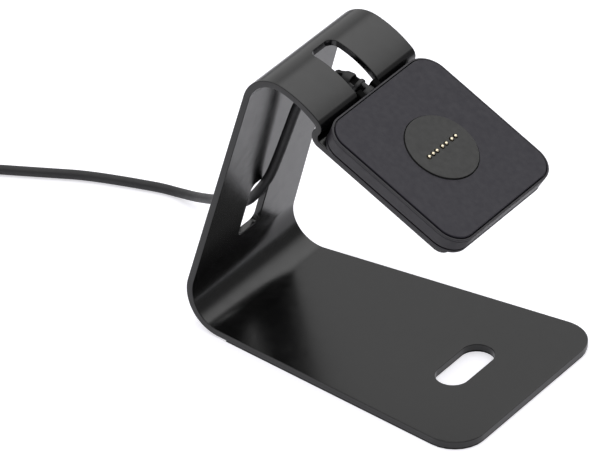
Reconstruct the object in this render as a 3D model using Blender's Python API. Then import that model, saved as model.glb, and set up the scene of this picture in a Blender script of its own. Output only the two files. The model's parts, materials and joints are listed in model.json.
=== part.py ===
"""Phone charging dock: a stand bent from one steel sheet, a spring-contact charging pad and its cable.

X runs from the upright towards the front edge, Y runs across and Z is up. The origin is on
the surface that the dock stands on, under the middle of the dock without its cable.
"""
import math

import bmesh
import bpy
from mathutils import Matrix, Vector

MM = 0.001

# Clearances
SEAT = 0.25 * MM              # between a piece and what it is fixed to
ROUND_SLACK = 0.01 * MM         # keeps the rounded ends of a slot from meeting
THREAD_GAP = 0.1 * MM         # between a screw and its boss
RUNNING = 0.08 * MM           # around a sliding contact pin

# Sheet and its mat
SHEET = 2.5 * MM
SHEET_EDGE = 0.3 * MM         # broken edge along every cut
MAT = 0.4 * MM
MAT_BACK = 3.0 * MM           # bare stretch between the mat and the foot bend

# Side profile of the bent sheet, from the front edge back, up and over to the pad
FOOT_FLAT = 108.5 * MM
FOOT_BEND_RADIUS = 12.1 * MM
LEAN = math.radians(15.25)
UPRIGHT = 83.9 * MM
TOP_BEND_RADIUS = 10.65 * MM
TOP_TURN = math.radians(91.1)
ARM = 15.85 * MM
ARM_TURN = math.radians(24.1)
NOSE_RADIUS = 1.5 * MM
NOSE_TURN = math.radians(91.2)
PANEL_BEND_RADIUS = 1.6 * MM
PANEL_TILT = math.radians(25.94)
PANEL_SHORTFALL = 3.9 * MM     # from the panel's front edge to the pad's front wall
BEND_STEP = math.radians(7.5)  # turn of one facet of a bend

# Widths of the flat blank
FRONT_WIDTH = 87.3 * MM
FOOT_WIDTH = 63.4 * MM
UPRIGHT_WIDTH = 60.3 * MM
TOP_WIDTH = 55.8 * MM
PANEL_WIDTH = 56.5 * MM
FRONT_CORNER = 12.0 * MM
PANEL_CORNER = 4.0 * MM

# Facets round each turned shape
CORNER_STEPS = 7
SPRING_STEPS = 6
PIN_SIDES = 16
SCREW_SIDES = 20
BOOT_SIDES = 24
COIL_SIDES = 40
DISC_SIDES = 64

# Openings in the blank
OPENING_CORNER = 2.5 * MM
ARM_WINDOW_CORNER = 3.0 * MM
ARM_WINDOW_WIDTH = 12.2 * MM
ARM_WINDOW_REACH = 4.4 * MM    # back from the arm, into the top bend
CABLE_SLOT_WIDTH = 12.4 * MM
CABLE_SLOT_LENGTH = 23.9 * MM
CABLE_SLOT_RISE = 6.25 * MM   # above the foot bend
FOOT_SLOT_WIDTH = 12.0 * MM
FOOT_SLOT_LENGTH = 27.0 * MM
FOOT_SLOT_SETBACK = 28.1 * MM  # from the front edge to the slot's middle

# Charging pad, in its own frame on the panel's upper face
PAD_NOSE_GAP = 0.4 * MM       # between the nose and the pad's back wall
PAD_HEIGHT = 8.0 * MM
PAD_LENGTH = 61.5 * MM
PAD_WIDTH = 60.7 * MM
PAD_CORNER = 9.0 * MM
PAD_DRAFT = 0.45 * MM         # the housing's sides lean in by this much at its back
PAD_EDGE = 2.1 * MM           # rounding under the housing's sides
PAD_WALL = 1.7 * MM
PAD_FLOOR = 1.0 * MM
RIM_DROP = 0.5 * MM           # from the pad's face down to the rim
RIM_LAND = 0.45 * MM
RIM_EDGE = 0.2 * MM
GROOVE = 0.35 * MM            # open line between the rim and the cover
COVER = 1.4 * MM
COVER_EDGE = 0.35 * MM

# Round contact plate
DISC_RADIUS = 13.5 * MM
DISC_PROUD = 0.5 * MM
DISC_EDGE = 0.2 * MM
DISC_GAP = 0.15 * MM
DISC_SKIN = 1.2 * MM          # solid top over the pocket for the contacts
FLANGE = 1.6 * MM
FLANGE_HEIGHT = 2.2 * MM

# Spring contacts, in one row across the plate
PIN_COUNTS = (3, 2, 2)
PIN_PITCH = 2.28 * MM
PIN_GROUP_PITCH = 3.25 * MM
PIN_RADIUS = 0.58 * MM
PIN_TRAVEL = 0.6 * MM
PIN_REST = 0.05 * MM          # still proud at the end of its travel
PIN_HEAD_RADIUS = 0.76 * MM
PIN_HEAD = 0.5 * MM
PIN_HOLE_GAP = 0.2 * MM       # around a pin in the plate's top
BARREL_WALL = 0.14 * MM
BARREL_END = 0.3 * MM
POCKET_GAP = 0.15 * MM
SPRING_TURNS = 4
SPRING_WIRE_RADIUS = 0.06 * MM
SPRING_GAP = 0.12 * MM

# Inside the pad
BOARD = 0.8 * MM
BOARD_LENGTH = 36.0 * MM
BOARD_WIDTH = 46.0 * MM
BOARD_CORNER = 3.0 * MM
REST_WIDTH = 1.5 * MM
REST_LENGTH = 26.0 * MM
REST_CORNER = 0.3 * MM
REST_SPREAD = 20.0 * MM       # from the middle to each of the two ribs under the board

# Screws, from behind the panel into the cover
SCREW_ALONG = 21.4 * MM
SCREW_ACROSS = 20.5 * MM
SCREW_RADIUS = 1.2 * MM
SCREW_HOLE_GAP = 0.25 * MM
SCREW_HEAD_RADIUS = 2.3 * MM
SCREW_HEAD = 1.5 * MM
SCREW_SOCKET_RADIUS = 0.85 * MM
SCREW_SOCKET = 0.9 * MM
SCREW_BITE = 2.8 * MM
BOSS_WALL = 1.3 * MM

# Strain relief
BOOT_RISE = 3.95 * MM         # from the panel to the boot's middle at the pad's wall
BOOT_RADIUS = 3.1 * MM
BOOT_TIP_RADIUS = 2.3 * MM
BOOT_NECK_RADIUS = 1.9 * MM
BOOT_COLLAR_RADIUS = 2.2 * MM
BOOT_COLLAR = 1.2 * MM
SHOULDER = 0.02 * MM          # length of a step between two radii
BOOT_STEP = 0.25 * MM
BOOT_SLOTS = 6
BOOT_SLOT = 1.7 * MM
BOOT_SLOT_PITCH = 2.65 * MM
BOOT_SLOT_FIRST = 2.6 * MM    # from the pad's wall
BOOT_SLOT_DRAFT = 0.1 * MM    # along the boot, at each end of a slot
BOOT_SPINE = 1.1 * MM         # half the thickness left between two slots
BOOT_TIP_EDGE = 0.6 * MM
BOOT_TIP_STEP = 0.3 * MM
# Middle of the boot, from the pad's wall to where the cable leaves it
BOOT_ROUTE = [(-12.2, 0, 99.9), (-15.6, 0, 100.7), (-19.0, 0, 100.1), (-22.4, 0, 98.2), (-25.4, 0, 95.2)]

# Cable
CORD_RADIUS = 1.78 * MM
CORD_STEP = 8.0 * MM
CORD_END_GAP = 0.3 * MM
# Middle of the cable, down inside the upright, out through its slot and along the floor
CORD_ROUTE = [(-25.4, 0, 95.2), (-29.4, 0, 91.0), (-33.2, 0, 86.6), (-36.2, 0, 82.2), (-39.3, 0, 73.4),
              (-43.0, -0.4, 62.0), (-46.1, -0.8, 53.0), (-48.4, -1.0, 48.1), (-51.8, -1.0, 42.6),
              (-55.8, -0.2, 37.4), (-61.4, 3.2, 32.0), (-69.6, 8.6, 25.8), (-79.8, 16.2, 18.8),
              (-90.2, 23.2, 11.6), (-100.6, 29.2, 5.4), (-109.2, 31.9, 2.3), (-116.4, 31.3, 1.85),
              (-123.4, 29.3, 1.85), (-131.2, 26.8, 1.85), (-138.6, 24.2, 1.85), (-145.4, 21.4, 1.85),
              (-151.6, 18.2, 1.85), (-158.0, 14.8, 1.85), (-164.4, 11.4, 1.85), (-170.8, 8.0, 1.85),
              (-180.4, 2.6, 1.85), (-189.8, -3.2, 1.95), (-199.4, -8.8, 2.4), (-209.6, -12.8, 3.0)]
# Middle of the cable from the coil to the plug
TAIL_ROUTE = [(-245.7, 15.0, 6.6), (-245.9, 21.0, 6.4), (-246.8, 27.0, 5.7), (-248.8, 33.0, 5.0),
              (-251.6, 39.0, 4.6), (-255.0, 45.0, 4.4)]
# Stored length, in a tied ring that lies beyond the end of the route
COIL_RADIUS = 21.0 * MM
COIL_CENTRE = (-217.0 * MM, 15.0 * MM)
COIL_COLUMNS = 3
COIL_LAYERS = 2
COIL_PITCH = 3.6 * MM
COIL_EDGE = 1.25 * MM
COIL_LIFT = 1.4 * MM
TIE = 0.8 * MM
TIE_WIDTH = 5.0 * MM
TIE_GAP = 0.4 * MM
TIE_ANGLE = math.radians(40)

# Plug
GRIP_LENGTH = 24.0 * MM
GRIP_WIDTH = 15.6 * MM
GRIP_HEIGHT = 8.2 * MM
GRIP_CORNER = 2.4 * MM
GRIP_EDGE = 1.0 * MM
SHELL_LENGTH = 14.5 * MM
SHELL_WIDTH = 12.0 * MM
SHELL_HEIGHT = 4.5 * MM
SHELL_WALL = 0.3 * MM
SHELL_CORNER = 0.5 * MM
TONGUE_WIDTH = 11.0 * MM
TONGUE_HEIGHT = 1.9 * MM
TONGUE_SETBACK = 0.6 * MM
TONGUE_CORNER = 0.2 * MM

# Worked out from the sizes above
DEPTH = FOOT_FLAT + FOOT_BEND_RADIUS + SHEET
PANEL_TURN = TOP_TURN + ARM_TURN + NOSE_TURN - (math.pi / 2 - LEAN) - PANEL_TILT
NOSE_BULGE = (PANEL_BEND_RADIUS + NOSE_RADIUS + SHEET) * (1 - math.cos(PANEL_TURN - math.pi / 2))
PAD_SETBACK = PAD_LENGTH / 2 + PAD_NOSE_GAP - PANEL_BEND_RADIUS + NOSE_BULGE
PANEL = PAD_SETBACK + PAD_LENGTH / 2 - PANEL_SHORTFALL
SHEET_BASE = MAT + SEAT
COVER_TOP = PAD_HEIGHT
COVER_BASE = COVER_TOP - COVER
RIM_TOP = PAD_HEIGHT - RIM_DROP
DISC_TOP = COVER_TOP + DISC_PROUD
FLANGE_TOP = COVER_BASE - SEAT
DISC_BASE = FLANGE_TOP - FLANGE_HEIGHT
BOARD_TOP = DISC_BASE - SEAT
BARREL_BASE = BOARD_TOP + SEAT
BARREL_TOP = DISC_TOP - DISC_SKIN - SEAT
BARREL_BORE = PIN_HEAD_RADIUS + RUNNING
BARREL_RADIUS = BARREL_BORE + BARREL_WALL
PIN_HEAD_TOP = BARREL_TOP - BARREL_END - RUNNING
PIN_HEAD_BASE = PIN_HEAD_TOP - PIN_HEAD
PIN_TIP = DISC_TOP + PIN_REST + PIN_TRAVEL
HOUSING_FLOOR_TOP = SEAT + PAD_FLOOR
BOSS_BASE = HOUSING_FLOOR_TOP + SEAT
COIL_BUNDLE_WIDTH = COIL_COLUMNS * COIL_PITCH
COIL_BUNDLE_HEIGHT = COIL_LAYERS * COIL_PITCH


def clear_scene():
    """Removes what the file opened with."""
    for thing in list(bpy.data.objects):
        bpy.data.objects.remove(thing, do_unlink=True)


def material(name, colour, roughness, metallic=0.0):
    """A Principled material."""
    made = bpy.data.materials.new(name)
    made.use_nodes = True
    shader = made.node_tree.nodes["Principled BSDF"]
    shader.inputs["Base Color"].default_value = (*colour, 1)
    shader.inputs["Roughness"].default_value = roughness
    shader.inputs["Metallic"].default_value = metallic
    return made


def add_object(name, bm, look, parent=None, smooth_angle=30):
    """Turns a bmesh into an object with its faces pointing out."""
    bmesh.ops.recalc_face_normals(bm, faces=bm.faces[:])
    mesh = bpy.data.meshes.new(name)
    bm.to_mesh(mesh)
    bm.free()
    mesh.shade_smooth()
    mesh.set_sharp_from_angle(angle=math.radians(smooth_angle))
    made = bpy.data.objects.new(name, mesh)
    bpy.context.collection.objects.link(made)
    made.parent = parent
    if look:
        mesh.materials.append(look)
    return made


def boolean(target, other, operation="DIFFERENCE"):
    """Cuts or joins with a hidden object."""
    other.hide_render = True
    other.display_type = "WIRE"
    modifier = target.modifiers.new(other.name, "BOOLEAN")
    modifier.operation = operation
    modifier.solver = "EXACT"
    modifier.object = other


def arc(centre, radius, start, turn, steps):
    """Points on an arc, both ends included."""
    return [(centre[0] + radius * math.cos(start + turn * i / steps),
             centre[1] + radius * math.sin(start + turn * i / steps)) for i in range(steps + 1)]


def rounded_rectangle(length, width, radius, steps=CORNER_STEPS):
    """Anticlockwise outline about the origin, length along X."""
    points = []
    for quarter, (sx, sy) in enumerate(((1, 1), (-1, 1), (-1, -1), (1, -1))):
        centre = (sx * (length / 2 - radius), sy * (width / 2 - radius))
        points += arc(centre, radius, quarter * math.pi / 2, math.pi / 2, steps)
    return points


def loft(bm, rings, closed=False):
    """Joins rings of equal length with quads and caps the two ends, or joins the last to the first."""
    made = [[bm.verts.new(point) for point in ring] for ring in rings]
    pairs = list(zip(made[:-1], made[1:]))
    if closed:
        pairs.append((made[-1], made[0]))
    for low, high in pairs:
        for i in range(len(low)):
            j = (i + 1) % len(low)
            bm.faces.new((low[i], low[j], high[j], high[i]))
    if not closed:
        bm.faces.new(made[0][::-1])
        bm.faces.new(made[-1])
    return bm


def plate_rings(length, width, radius, profile, steps=CORNER_STEPS):
    """Rings of a rounded plate from (inset, height) pairs."""
    return [[(x, y, z) for x, y in rounded_rectangle(length - 2 * inset, width - 2 * inset,
                                                     radius - inset, steps)]
            for inset, z in profile]


def turned_rings(profile, sides):
    """Rings of a turned solid from (radius, height) pairs."""
    return [[(r * math.cos(2 * math.pi * i / sides), r * math.sin(2 * math.pi * i / sides), z)
             for i in range(sides)] for r, z in profile]


def turned(name, profile, sides, look, parent=None, place=(0, 0, 0), closed=False):
    """A turned solid about the Z axis of its parent, at place."""
    made = add_object(name, loft(bmesh.new(), turned_rings(profile, sides), closed), look, parent)
    made.location = place
    return made


def smooth_route(points, step):
    """Points at even steps along a smooth curve through the given ones, in metres."""
    anchors = [Vector(point) * MM for point in points]
    fine = []
    for i in range(len(anchors) - 1):
        before = anchors[max(i - 1, 0)]
        a, b = anchors[i], anchors[i + 1]
        after = anchors[min(i + 2, len(anchors) - 1)]
        for k in range(20):
            t = k / 20
            fine.append(0.5 * ((2 * a) + (b - before) * t + (2 * before - 5 * a + 4 * b - after) * t ** 2
                               + (3 * a - before - 3 * b + after) * t ** 3))
    fine.append(anchors[-1])
    lengths = [0]
    for a, b in zip(fine[:-1], fine[1:]):
        lengths.append(lengths[-1] + (b - a).length)
    count = max(2, round(lengths[-1] / step))
    made = []
    i = 0
    for k in range(count + 1):
        wanted = lengths[-1] * k / count
        while i < len(lengths) - 2 and lengths[i + 1] < wanted:
            i += 1
        share = (wanted - lengths[i]) / (lengths[i + 1] - lengths[i])
        made.append(fine[i].lerp(fine[i + 1], share))
    return made


def profile_stretches():
    """Stretches of the sheet's middle line: length and turn, positive to the left."""
    half = SHEET / 2
    foot_radius = FOOT_BEND_RADIUS + half
    nose_radius = NOSE_RADIUS + half
    panel_radius = PANEL_BEND_RADIUS + half
    return {
        "foot": (FOOT_FLAT, 0),
        "foot bend": (foot_radius * math.pi / 2, -math.pi / 2),
        "lean bend": (foot_radius * LEAN, -LEAN),
        "upright": (UPRIGHT, 0),
        "top bend": ((TOP_BEND_RADIUS + half) * TOP_TURN, -TOP_TURN),
        "arm": (ARM, -ARM_TURN),
        "nose": (nose_radius * NOSE_TURN, -NOSE_TURN),
        "panel bend": (panel_radius * PANEL_TURN, PANEL_TURN),
        "panel": (PANEL, 0),
    }


def profile_stations():
    """Where each stretch starts along the blank, and the middle line's s, x, z, heading at each fold line."""
    s, x, z, heading = 0.0, DEPTH / 2, SHEET_BASE + SHEET / 2, math.pi
    starts = {}
    stations = [(s, x, z, heading)]
    for name, (length, turn) in profile_stretches().items():
        starts[name] = s
        steps = max(1, math.ceil(abs(turn) / BEND_STEP - 0.001))
        chord = length / steps
        if turn:
            chord = 2 * length / abs(turn) * math.sin(abs(turn) / steps / 2)
        for _ in range(steps):
            middle = heading + turn / steps / 2
            x += chord * math.cos(middle)
            z += chord * math.sin(middle)
            heading += turn / steps
            s += length / steps
            stations.append((s, x, z, heading))
    return starts, stations


def bend_point(stations, s, y, n):
    """Where a point of the flat blank lies on the bent sheet; n is the height over the middle line."""
    for (s0, x0, z0, h0), (s1, x1, z1, h1) in zip(stations[:-1], stations[1:]):
        if s <= s1 + 1e-7:
            break
    low = (x0 - n * math.sin(h0), z0 + n * math.cos(h0))
    high = (x1 - n * math.sin(h1), z1 + n * math.cos(h1))
    share = (s - s0) / (s1 - s0)
    return Vector((low[0] + (high[0] - low[0]) * share, y, low[1] + (high[1] - low[1]) * share))


def corner_arc(before, corner, after, radius, steps):
    """A rounded corner of an outline, tangent to both sides."""
    a = (Vector(before) - Vector(corner)).normalized()
    b = (Vector(after) - Vector(corner)).normalized()
    half = a.angle(b) / 2
    centre = Vector(corner) + (a + b).normalized() * radius / math.sin(half)
    start = Vector(corner) + a * radius / math.tan(half) - centre
    end = Vector(corner) + b * radius / math.tan(half) - centre
    turn = start.angle(end)
    if start.cross(end) < 0:
        turn = -turn
    first = math.atan2(start.y, start.x)
    return arc(centre, radius, first, turn, steps)


def blank_outline(starts, length):
    """Outline of the flat blank, anticlockwise, as (s, y)."""
    half = [(0, FRONT_WIDTH / 2), (starts["foot bend"], FOOT_WIDTH / 2),
            (starts["upright"], UPRIGHT_WIDTH / 2), (starts["top bend"], TOP_WIDTH / 2),
            (starts["panel"], PANEL_WIDTH / 2), (length, PANEL_WIDTH / 2)]
    side = corner_arc((0, 0), half[0], half[1], FRONT_CORNER, CORNER_STEPS)
    side += half[1:-1]
    side += corner_arc(half[-2], half[-1], (length, 0), PANEL_CORNER, CORNER_STEPS)
    return side + [(s, -y) for s, y in reversed(side)]


def flat_cutter(name, outline, deep):
    """A prism through the blank, in the blank's own plane."""
    rings = [[(s, y, z) for s, y in outline] for z in (-deep, deep)]
    return add_object(name, loft(bmesh.new(), rings), None)


def blank_cutters(starts):
    """The openings, cut while the blank is flat."""
    window_start = starts["arm"] - ARM_WINDOW_REACH
    window_end = starts["panel"]
    window = rounded_rectangle(window_end - window_start, ARM_WINDOW_WIDTH, ARM_WINDOW_CORNER)
    slot = rounded_rectangle(CABLE_SLOT_LENGTH, CABLE_SLOT_WIDTH, OPENING_CORNER)
    slot_middle = starts["upright"] + CABLE_SLOT_RISE + CABLE_SLOT_LENGTH / 2
    foot_slot = rounded_rectangle(FOOT_SLOT_WIDTH, FOOT_SLOT_LENGTH, FOOT_SLOT_WIDTH / 2 - ROUND_SLACK)
    holes = {
        "cut_window": [(x + (window_start + window_end) / 2, y) for x, y in window],
        "cut_slot": [(x + slot_middle, y) for x, y in slot],
        "cut_foot": [(x + FOOT_SLOT_SETBACK, y) for x, y in foot_slot],
    }
    for i, (along, across) in enumerate(screw_places()):
        circle = arc((0, 0), SCREW_RADIUS + SCREW_HOLE_GAP, 0, 2 * math.pi, 16)[:-1]
        middle = starts["panel"] + PAD_SETBACK + along
        holes[f"cut_screw_{i + 1}"] = [(x + middle, y + across) for x, y in circle]
    return holes


def make_stand(look):
    """The stand: a blank with its openings, folded along its bends."""
    starts, stations = profile_stations()
    length = stations[-1][0]
    outline = blank_outline(starts, length)
    bm = bmesh.new()
    loft(bm, [[(s, y, z) for s, y in outline] for z in (-SHEET / 2, SHEET / 2)])
    blank = add_object("stand", bm, look)
    cutters = [flat_cutter(name, points, SHEET) for name, points in blank_cutters(starts).items()]
    for cutter in cutters:
        boolean(blank, cutter)
    bpy.context.view_layer.update()
    cut = bmesh.new()
    cut.from_object(blank, bpy.context.evaluated_depsgraph_get())
    blank.modifiers.clear()
    for cutter in cutters:
        bpy.data.objects.remove(cutter, do_unlink=True)
    bmesh.ops.remove_doubles(cut, verts=cut.verts[:], dist=1e-6)
    bmesh.ops.dissolve_limit(cut, angle_limit=0.001, verts=cut.verts[:], edges=cut.edges[:])
    sharp = math.radians(60)
    rim = [edge for edge in cut.edges if len(edge.link_faces) == 2 and edge.calc_face_angle() > sharp
           and abs(edge.verts[0].co.z - edge.verts[1].co.z) < SHEET / 4]
    bmesh.ops.bevel(cut, geom=rim, offset=SHEET_EDGE, offset_type="OFFSET", segments=1, profile=0.5,
                    affect="EDGES")
    for s, _, _, _ in stations[1:-1]:
        bmesh.ops.bisect_plane(cut, geom=cut.verts[:] + cut.edges[:] + cut.faces[:], dist=1e-7,
                               plane_co=(s, 0, 0), plane_no=(1, 0, 0))
    bmesh.ops.triangulate(cut, faces=cut.faces[:])
    for vert in cut.verts:
        vert.co = bend_point(stations, vert.co.x, vert.co.y, vert.co.z)
    bmesh.ops.recalc_face_normals(cut, faces=cut.faces[:])
    cut.to_mesh(blank.data)
    cut.free()
    blank.data.shade_smooth()
    blank.data.set_sharp_from_angle(angle=math.radians(30))
    return blank


def make_mat(look):
    """The thin mat under the foot, in the foot's own outline."""
    starts, _ = profile_stations()
    end = starts["foot bend"] - MAT_BACK
    share = end / starts["foot bend"]
    back = (FRONT_WIDTH + (FOOT_WIDTH - FRONT_WIDTH) * share) / 2
    inset = SHEET_EDGE
    side = corner_arc((inset, 0), (inset, FRONT_WIDTH / 2 - inset), (end, back - inset),
                      FRONT_CORNER - inset, CORNER_STEPS)
    side.append((end, back - inset))
    outline = side + [(s, -y) for s, y in reversed(side)]
    rings = [[(DEPTH / 2 - s, y, z) for s, y in outline] for z in (0, MAT)]
    mat = add_object("base_mat", loft(bmesh.new(), rings), look)
    grow = 2 * SHEET_EDGE
    width = FOOT_SLOT_WIDTH + grow
    hole = rounded_rectangle(width, FOOT_SLOT_LENGTH + grow, width / 2 - ROUND_SLACK)
    boolean(mat, flat_cutter("cut_mat", [(x + DEPTH / 2 - FOOT_SLOT_SETBACK, y) for x, y in hole], 2 * MAT))
    return mat


def pad_frame():
    """An empty on the panel's upper face at the pad's middle, with X down the slope."""
    starts, stations = profile_stations()
    frame = bpy.data.objects.new("pad_frame", None)
    bpy.context.collection.objects.link(frame)
    frame.location = bend_point(stations, starts["panel"] + PAD_SETBACK, 0, SHEET / 2)
    frame.rotation_euler = (0, PANEL_TILT, 0)
    return frame


def screw_places():
    """The four screws, as (along, across) from the pad's middle."""
    return [(along * SCREW_ALONG, across * SCREW_ACROSS) for along in (-1, 1) for across in (-1, 1)]


def pin_places():
    """How far across each contact lies from the middle."""
    places = []
    across = 0.0
    for count in PIN_COUNTS:
        for _ in range(count):
            places.append(across)
            across += PIN_PITCH
        across += PIN_GROUP_PITCH - PIN_PITCH
    return [place - places[-1] / 2 for place in places]


def make_housing(frame, look):
    """The pad's moulded tray, with ribs under the board and a hole for the strain relief."""
    inner = RIM_LAND + PAD_WALL
    seat_top = COVER_BASE - SEAT
    profile = [(PAD_DRAFT + PAD_EDGE, SEAT), (PAD_DRAFT + PAD_EDGE * 0.3, SEAT + PAD_EDGE * 0.3),
               (PAD_DRAFT, SEAT + PAD_EDGE), (0, RIM_TOP - RIM_EDGE), (RIM_EDGE, RIM_TOP),
               (RIM_EDGE + RIM_LAND, RIM_TOP), (RIM_EDGE + RIM_LAND, seat_top), (inner, seat_top),
               (inner, HOUSING_FLOOR_TOP)]
    rings = plate_rings(PAD_LENGTH, PAD_WIDTH, PAD_CORNER, profile)
    tray = add_object("pad_housing", loft(bmesh.new(), rings), look, frame)
    rest_top = BOARD_TOP - BOARD - SEAT
    for i, side in enumerate((-1, 1)):
        bm = bmesh.new()
        outline = rounded_rectangle(REST_LENGTH, REST_WIDTH, REST_CORNER, 2)
        loft(bm, [[(x, y + side * REST_SPREAD, z) for x, y in outline]
                  for z in (HOUSING_FLOOR_TOP - PAD_FLOOR / 2, rest_top)])
        boolean(tray, add_object(f"join_rest_{i + 1}", bm, None, frame), "UNION")
    for i, (along, across) in enumerate(screw_places()):
        radius = SCREW_RADIUS + SCREW_HOLE_GAP
        through = [(radius, -PAD_FLOOR), (radius, HOUSING_FLOOR_TOP + PAD_FLOOR)]
        hole = turned(f"cut_housing_{i + 1}", through, PIN_SIDES, None, frame, (along, across, 0))
        boolean(tray, hole)
    radius = BOOT_NECK_RADIUS + SEAT
    through = [(radius, -PAD_WALL * 2), (radius, PAD_WALL * 2)]
    hole = turned("cut_boot", through, SCREW_SIDES, None, frame,
                  (-PAD_LENGTH / 2 + PAD_WALL / 2, 0, BOOT_RISE))
    hole.rotation_euler = (0, math.pi / 2, 0)
    boolean(tray, hole)
    return tray


def make_cover(frame, look):
    """The raised cover plate, with its bosses and the round hole for the contact plate."""
    inset = RIM_EDGE + RIM_LAND + GROOVE
    profile = [(inset, COVER_BASE), (inset, COVER_TOP - COVER_EDGE),
               (inset + COVER_EDGE * 0.3, COVER_TOP - COVER_EDGE * 0.3), (inset + COVER_EDGE, COVER_TOP)]
    rings = plate_rings(PAD_LENGTH, PAD_WIDTH, PAD_CORNER, profile)
    cover = add_object("pad_cover", loft(bmesh.new(), rings), look, frame)
    radius = DISC_RADIUS + DISC_GAP
    through = [(radius, COVER_BASE - COVER), (radius, COVER_TOP + COVER)]
    boolean(cover, turned("cut_disc", through, DISC_SIDES, None, frame))
    for i, (along, across) in enumerate(screw_places()):
        outer = SCREW_RADIUS + BOSS_WALL
        solid = [(outer, BOSS_BASE), (outer, COVER_BASE + COVER / 2)]
        boss = turned(f"join_boss_{i + 1}", solid, SCREW_SIDES, None, frame, (along, across, 0))
        boolean(cover, boss, "UNION")
        inner = SCREW_RADIUS + THREAD_GAP
        depth = BOSS_BASE + SCREW_BITE + SEAT
        bore = [(inner, 0), (inner, depth)]
        hole = turned(f"cut_boss_{i + 1}", bore, PIN_SIDES, None, frame, (along, across, 0))
        boolean(cover, hole)
    return cover


def make_disc(frame, look):
    """The round contact plate, with a flange under the cover and a pocket over the contacts."""
    flange = DISC_RADIUS + FLANGE
    profile = [(flange, DISC_BASE), (flange, FLANGE_TOP), (DISC_RADIUS, FLANGE_TOP),
               (DISC_RADIUS, DISC_TOP - DISC_EDGE), (DISC_RADIUS - DISC_EDGE, DISC_TOP)]
    disc = turned("contact_disc", profile, DISC_SIDES, look, frame)
    places = pin_places()
    half = BARREL_RADIUS + POCKET_GAP
    bm = bmesh.new()
    outline = rounded_rectangle(2 * half, places[-1] - places[0] + 2 * half, half - 1e-5)
    loft(bm, [[(x, y, z) for x, y in outline] for z in (DISC_BASE - SEAT, DISC_TOP - DISC_SKIN)])
    boolean(disc, add_object("cut_pocket", bm, None, frame))
    for i, across in enumerate(places):
        radius = PIN_RADIUS + PIN_HOLE_GAP
        through = [(radius, DISC_TOP - 2 * DISC_SKIN), (radius, DISC_TOP + DISC_SKIN)]
        hole = turned(f"cut_pin_{i + 1}", through, PIN_SIDES, None, frame, (0, across, 0))
        boolean(disc, hole)
    return disc


def spring_mesh(base, top, radius):
    """A round-wire coil spring that stands on base."""
    bm = bmesh.new()
    steps = SPRING_TURNS * SPRING_STEPS
    rings = []
    rise = top - base - 2 * SPRING_WIRE_RADIUS
    for k in range(steps + 1):
        angle = 2 * math.pi * k / SPRING_STEPS
        out = Vector((math.cos(angle), math.sin(angle), 0))
        middle = out * radius + Vector((0, 0, base + SPRING_WIRE_RADIUS + rise * k / steps))
        rings.append([middle + (out * math.cos(a) + Vector((0, 0, 1)) * math.sin(a)) * SPRING_WIRE_RADIUS
                      for a in (0, math.pi / 2, math.pi, 3 * math.pi / 2)])
    return loft(bm, rings)


def make_contacts(frame, gold, brass, steel):
    """Seven sprung pins in their barrels; each pin slides down its barrel."""
    for i, across in enumerate(pin_places()):
        place = (0, across, 0)
        pin = [(PIN_HEAD_RADIUS, PIN_HEAD_BASE), (PIN_HEAD_RADIUS, PIN_HEAD_TOP), (PIN_RADIUS, PIN_HEAD_TOP),
               (PIN_RADIUS, PIN_TIP - PIN_RADIUS * 0.5)]
        pin += [(PIN_RADIUS * math.cos(a), PIN_TIP - PIN_RADIUS * 0.5 * (1 - math.sin(a)))
                for a in (math.radians(30), math.radians(60), math.radians(80))]
        turned(f"contact_pin_{i + 1}", pin, PIN_SIDES, gold, frame, place)
        lip = PIN_RADIUS + RUNNING
        barrel = [(BARREL_RADIUS, BARREL_BASE), (BARREL_RADIUS, BARREL_TOP), (lip, BARREL_TOP),
                  (lip, BARREL_TOP - BARREL_END), (BARREL_BORE, BARREL_TOP - BARREL_END),
                  (BARREL_BORE, BARREL_BASE + BARREL_END)]
        turned(f"pin_barrel_{i + 1}", barrel, PIN_SIDES, brass, frame, place)
        radius = BARREL_BORE * math.cos(math.pi / PIN_SIDES) - SPRING_GAP - SPRING_WIRE_RADIUS
        base = BARREL_BASE + BARREL_END + SPRING_GAP
        coil = spring_mesh(base, PIN_HEAD_BASE - SPRING_GAP, radius)
        spring = add_object(f"pin_spring_{i + 1}", coil, steel, frame)
        spring.location = place


def make_board(frame, look):
    """The circuit board under the contacts."""
    rings = plate_rings(BOARD_LENGTH, BOARD_WIDTH, BOARD_CORNER, [(0, BOARD_TOP - BOARD), (0, BOARD_TOP)], 3)
    return add_object("circuit_board", loft(bmesh.new(), rings), look, frame)


def make_screws(frame, look):
    """Four screws through the panel and the tray into the cover's bosses."""
    seat = -SHEET - SEAT
    tip = BOSS_BASE + SCREW_BITE
    for i, (along, across) in enumerate(screw_places()):
        profile = [(SCREW_HEAD_RADIUS * 0.7, seat - SCREW_HEAD), (SCREW_HEAD_RADIUS, seat - SCREW_HEAD * 0.6),
                   (SCREW_HEAD_RADIUS, seat), (SCREW_RADIUS, seat), (SCREW_RADIUS, tip - SCREW_RADIUS / 2),
                   (SCREW_RADIUS / 2, tip)]
        screw = turned(f"screw_{i + 1}", profile, SCREW_SIDES, look, frame, (along, across, 0))
        low = seat - SCREW_HEAD
        hexagon = [(SCREW_SOCKET_RADIUS, low - SCREW_HEAD), (SCREW_SOCKET_RADIUS, low + SCREW_SOCKET)]
        socket = turned(f"cut_socket_{i + 1}", hexagon, 6, None, frame, (along, across, 0))
        boolean(screw, socket)


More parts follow.
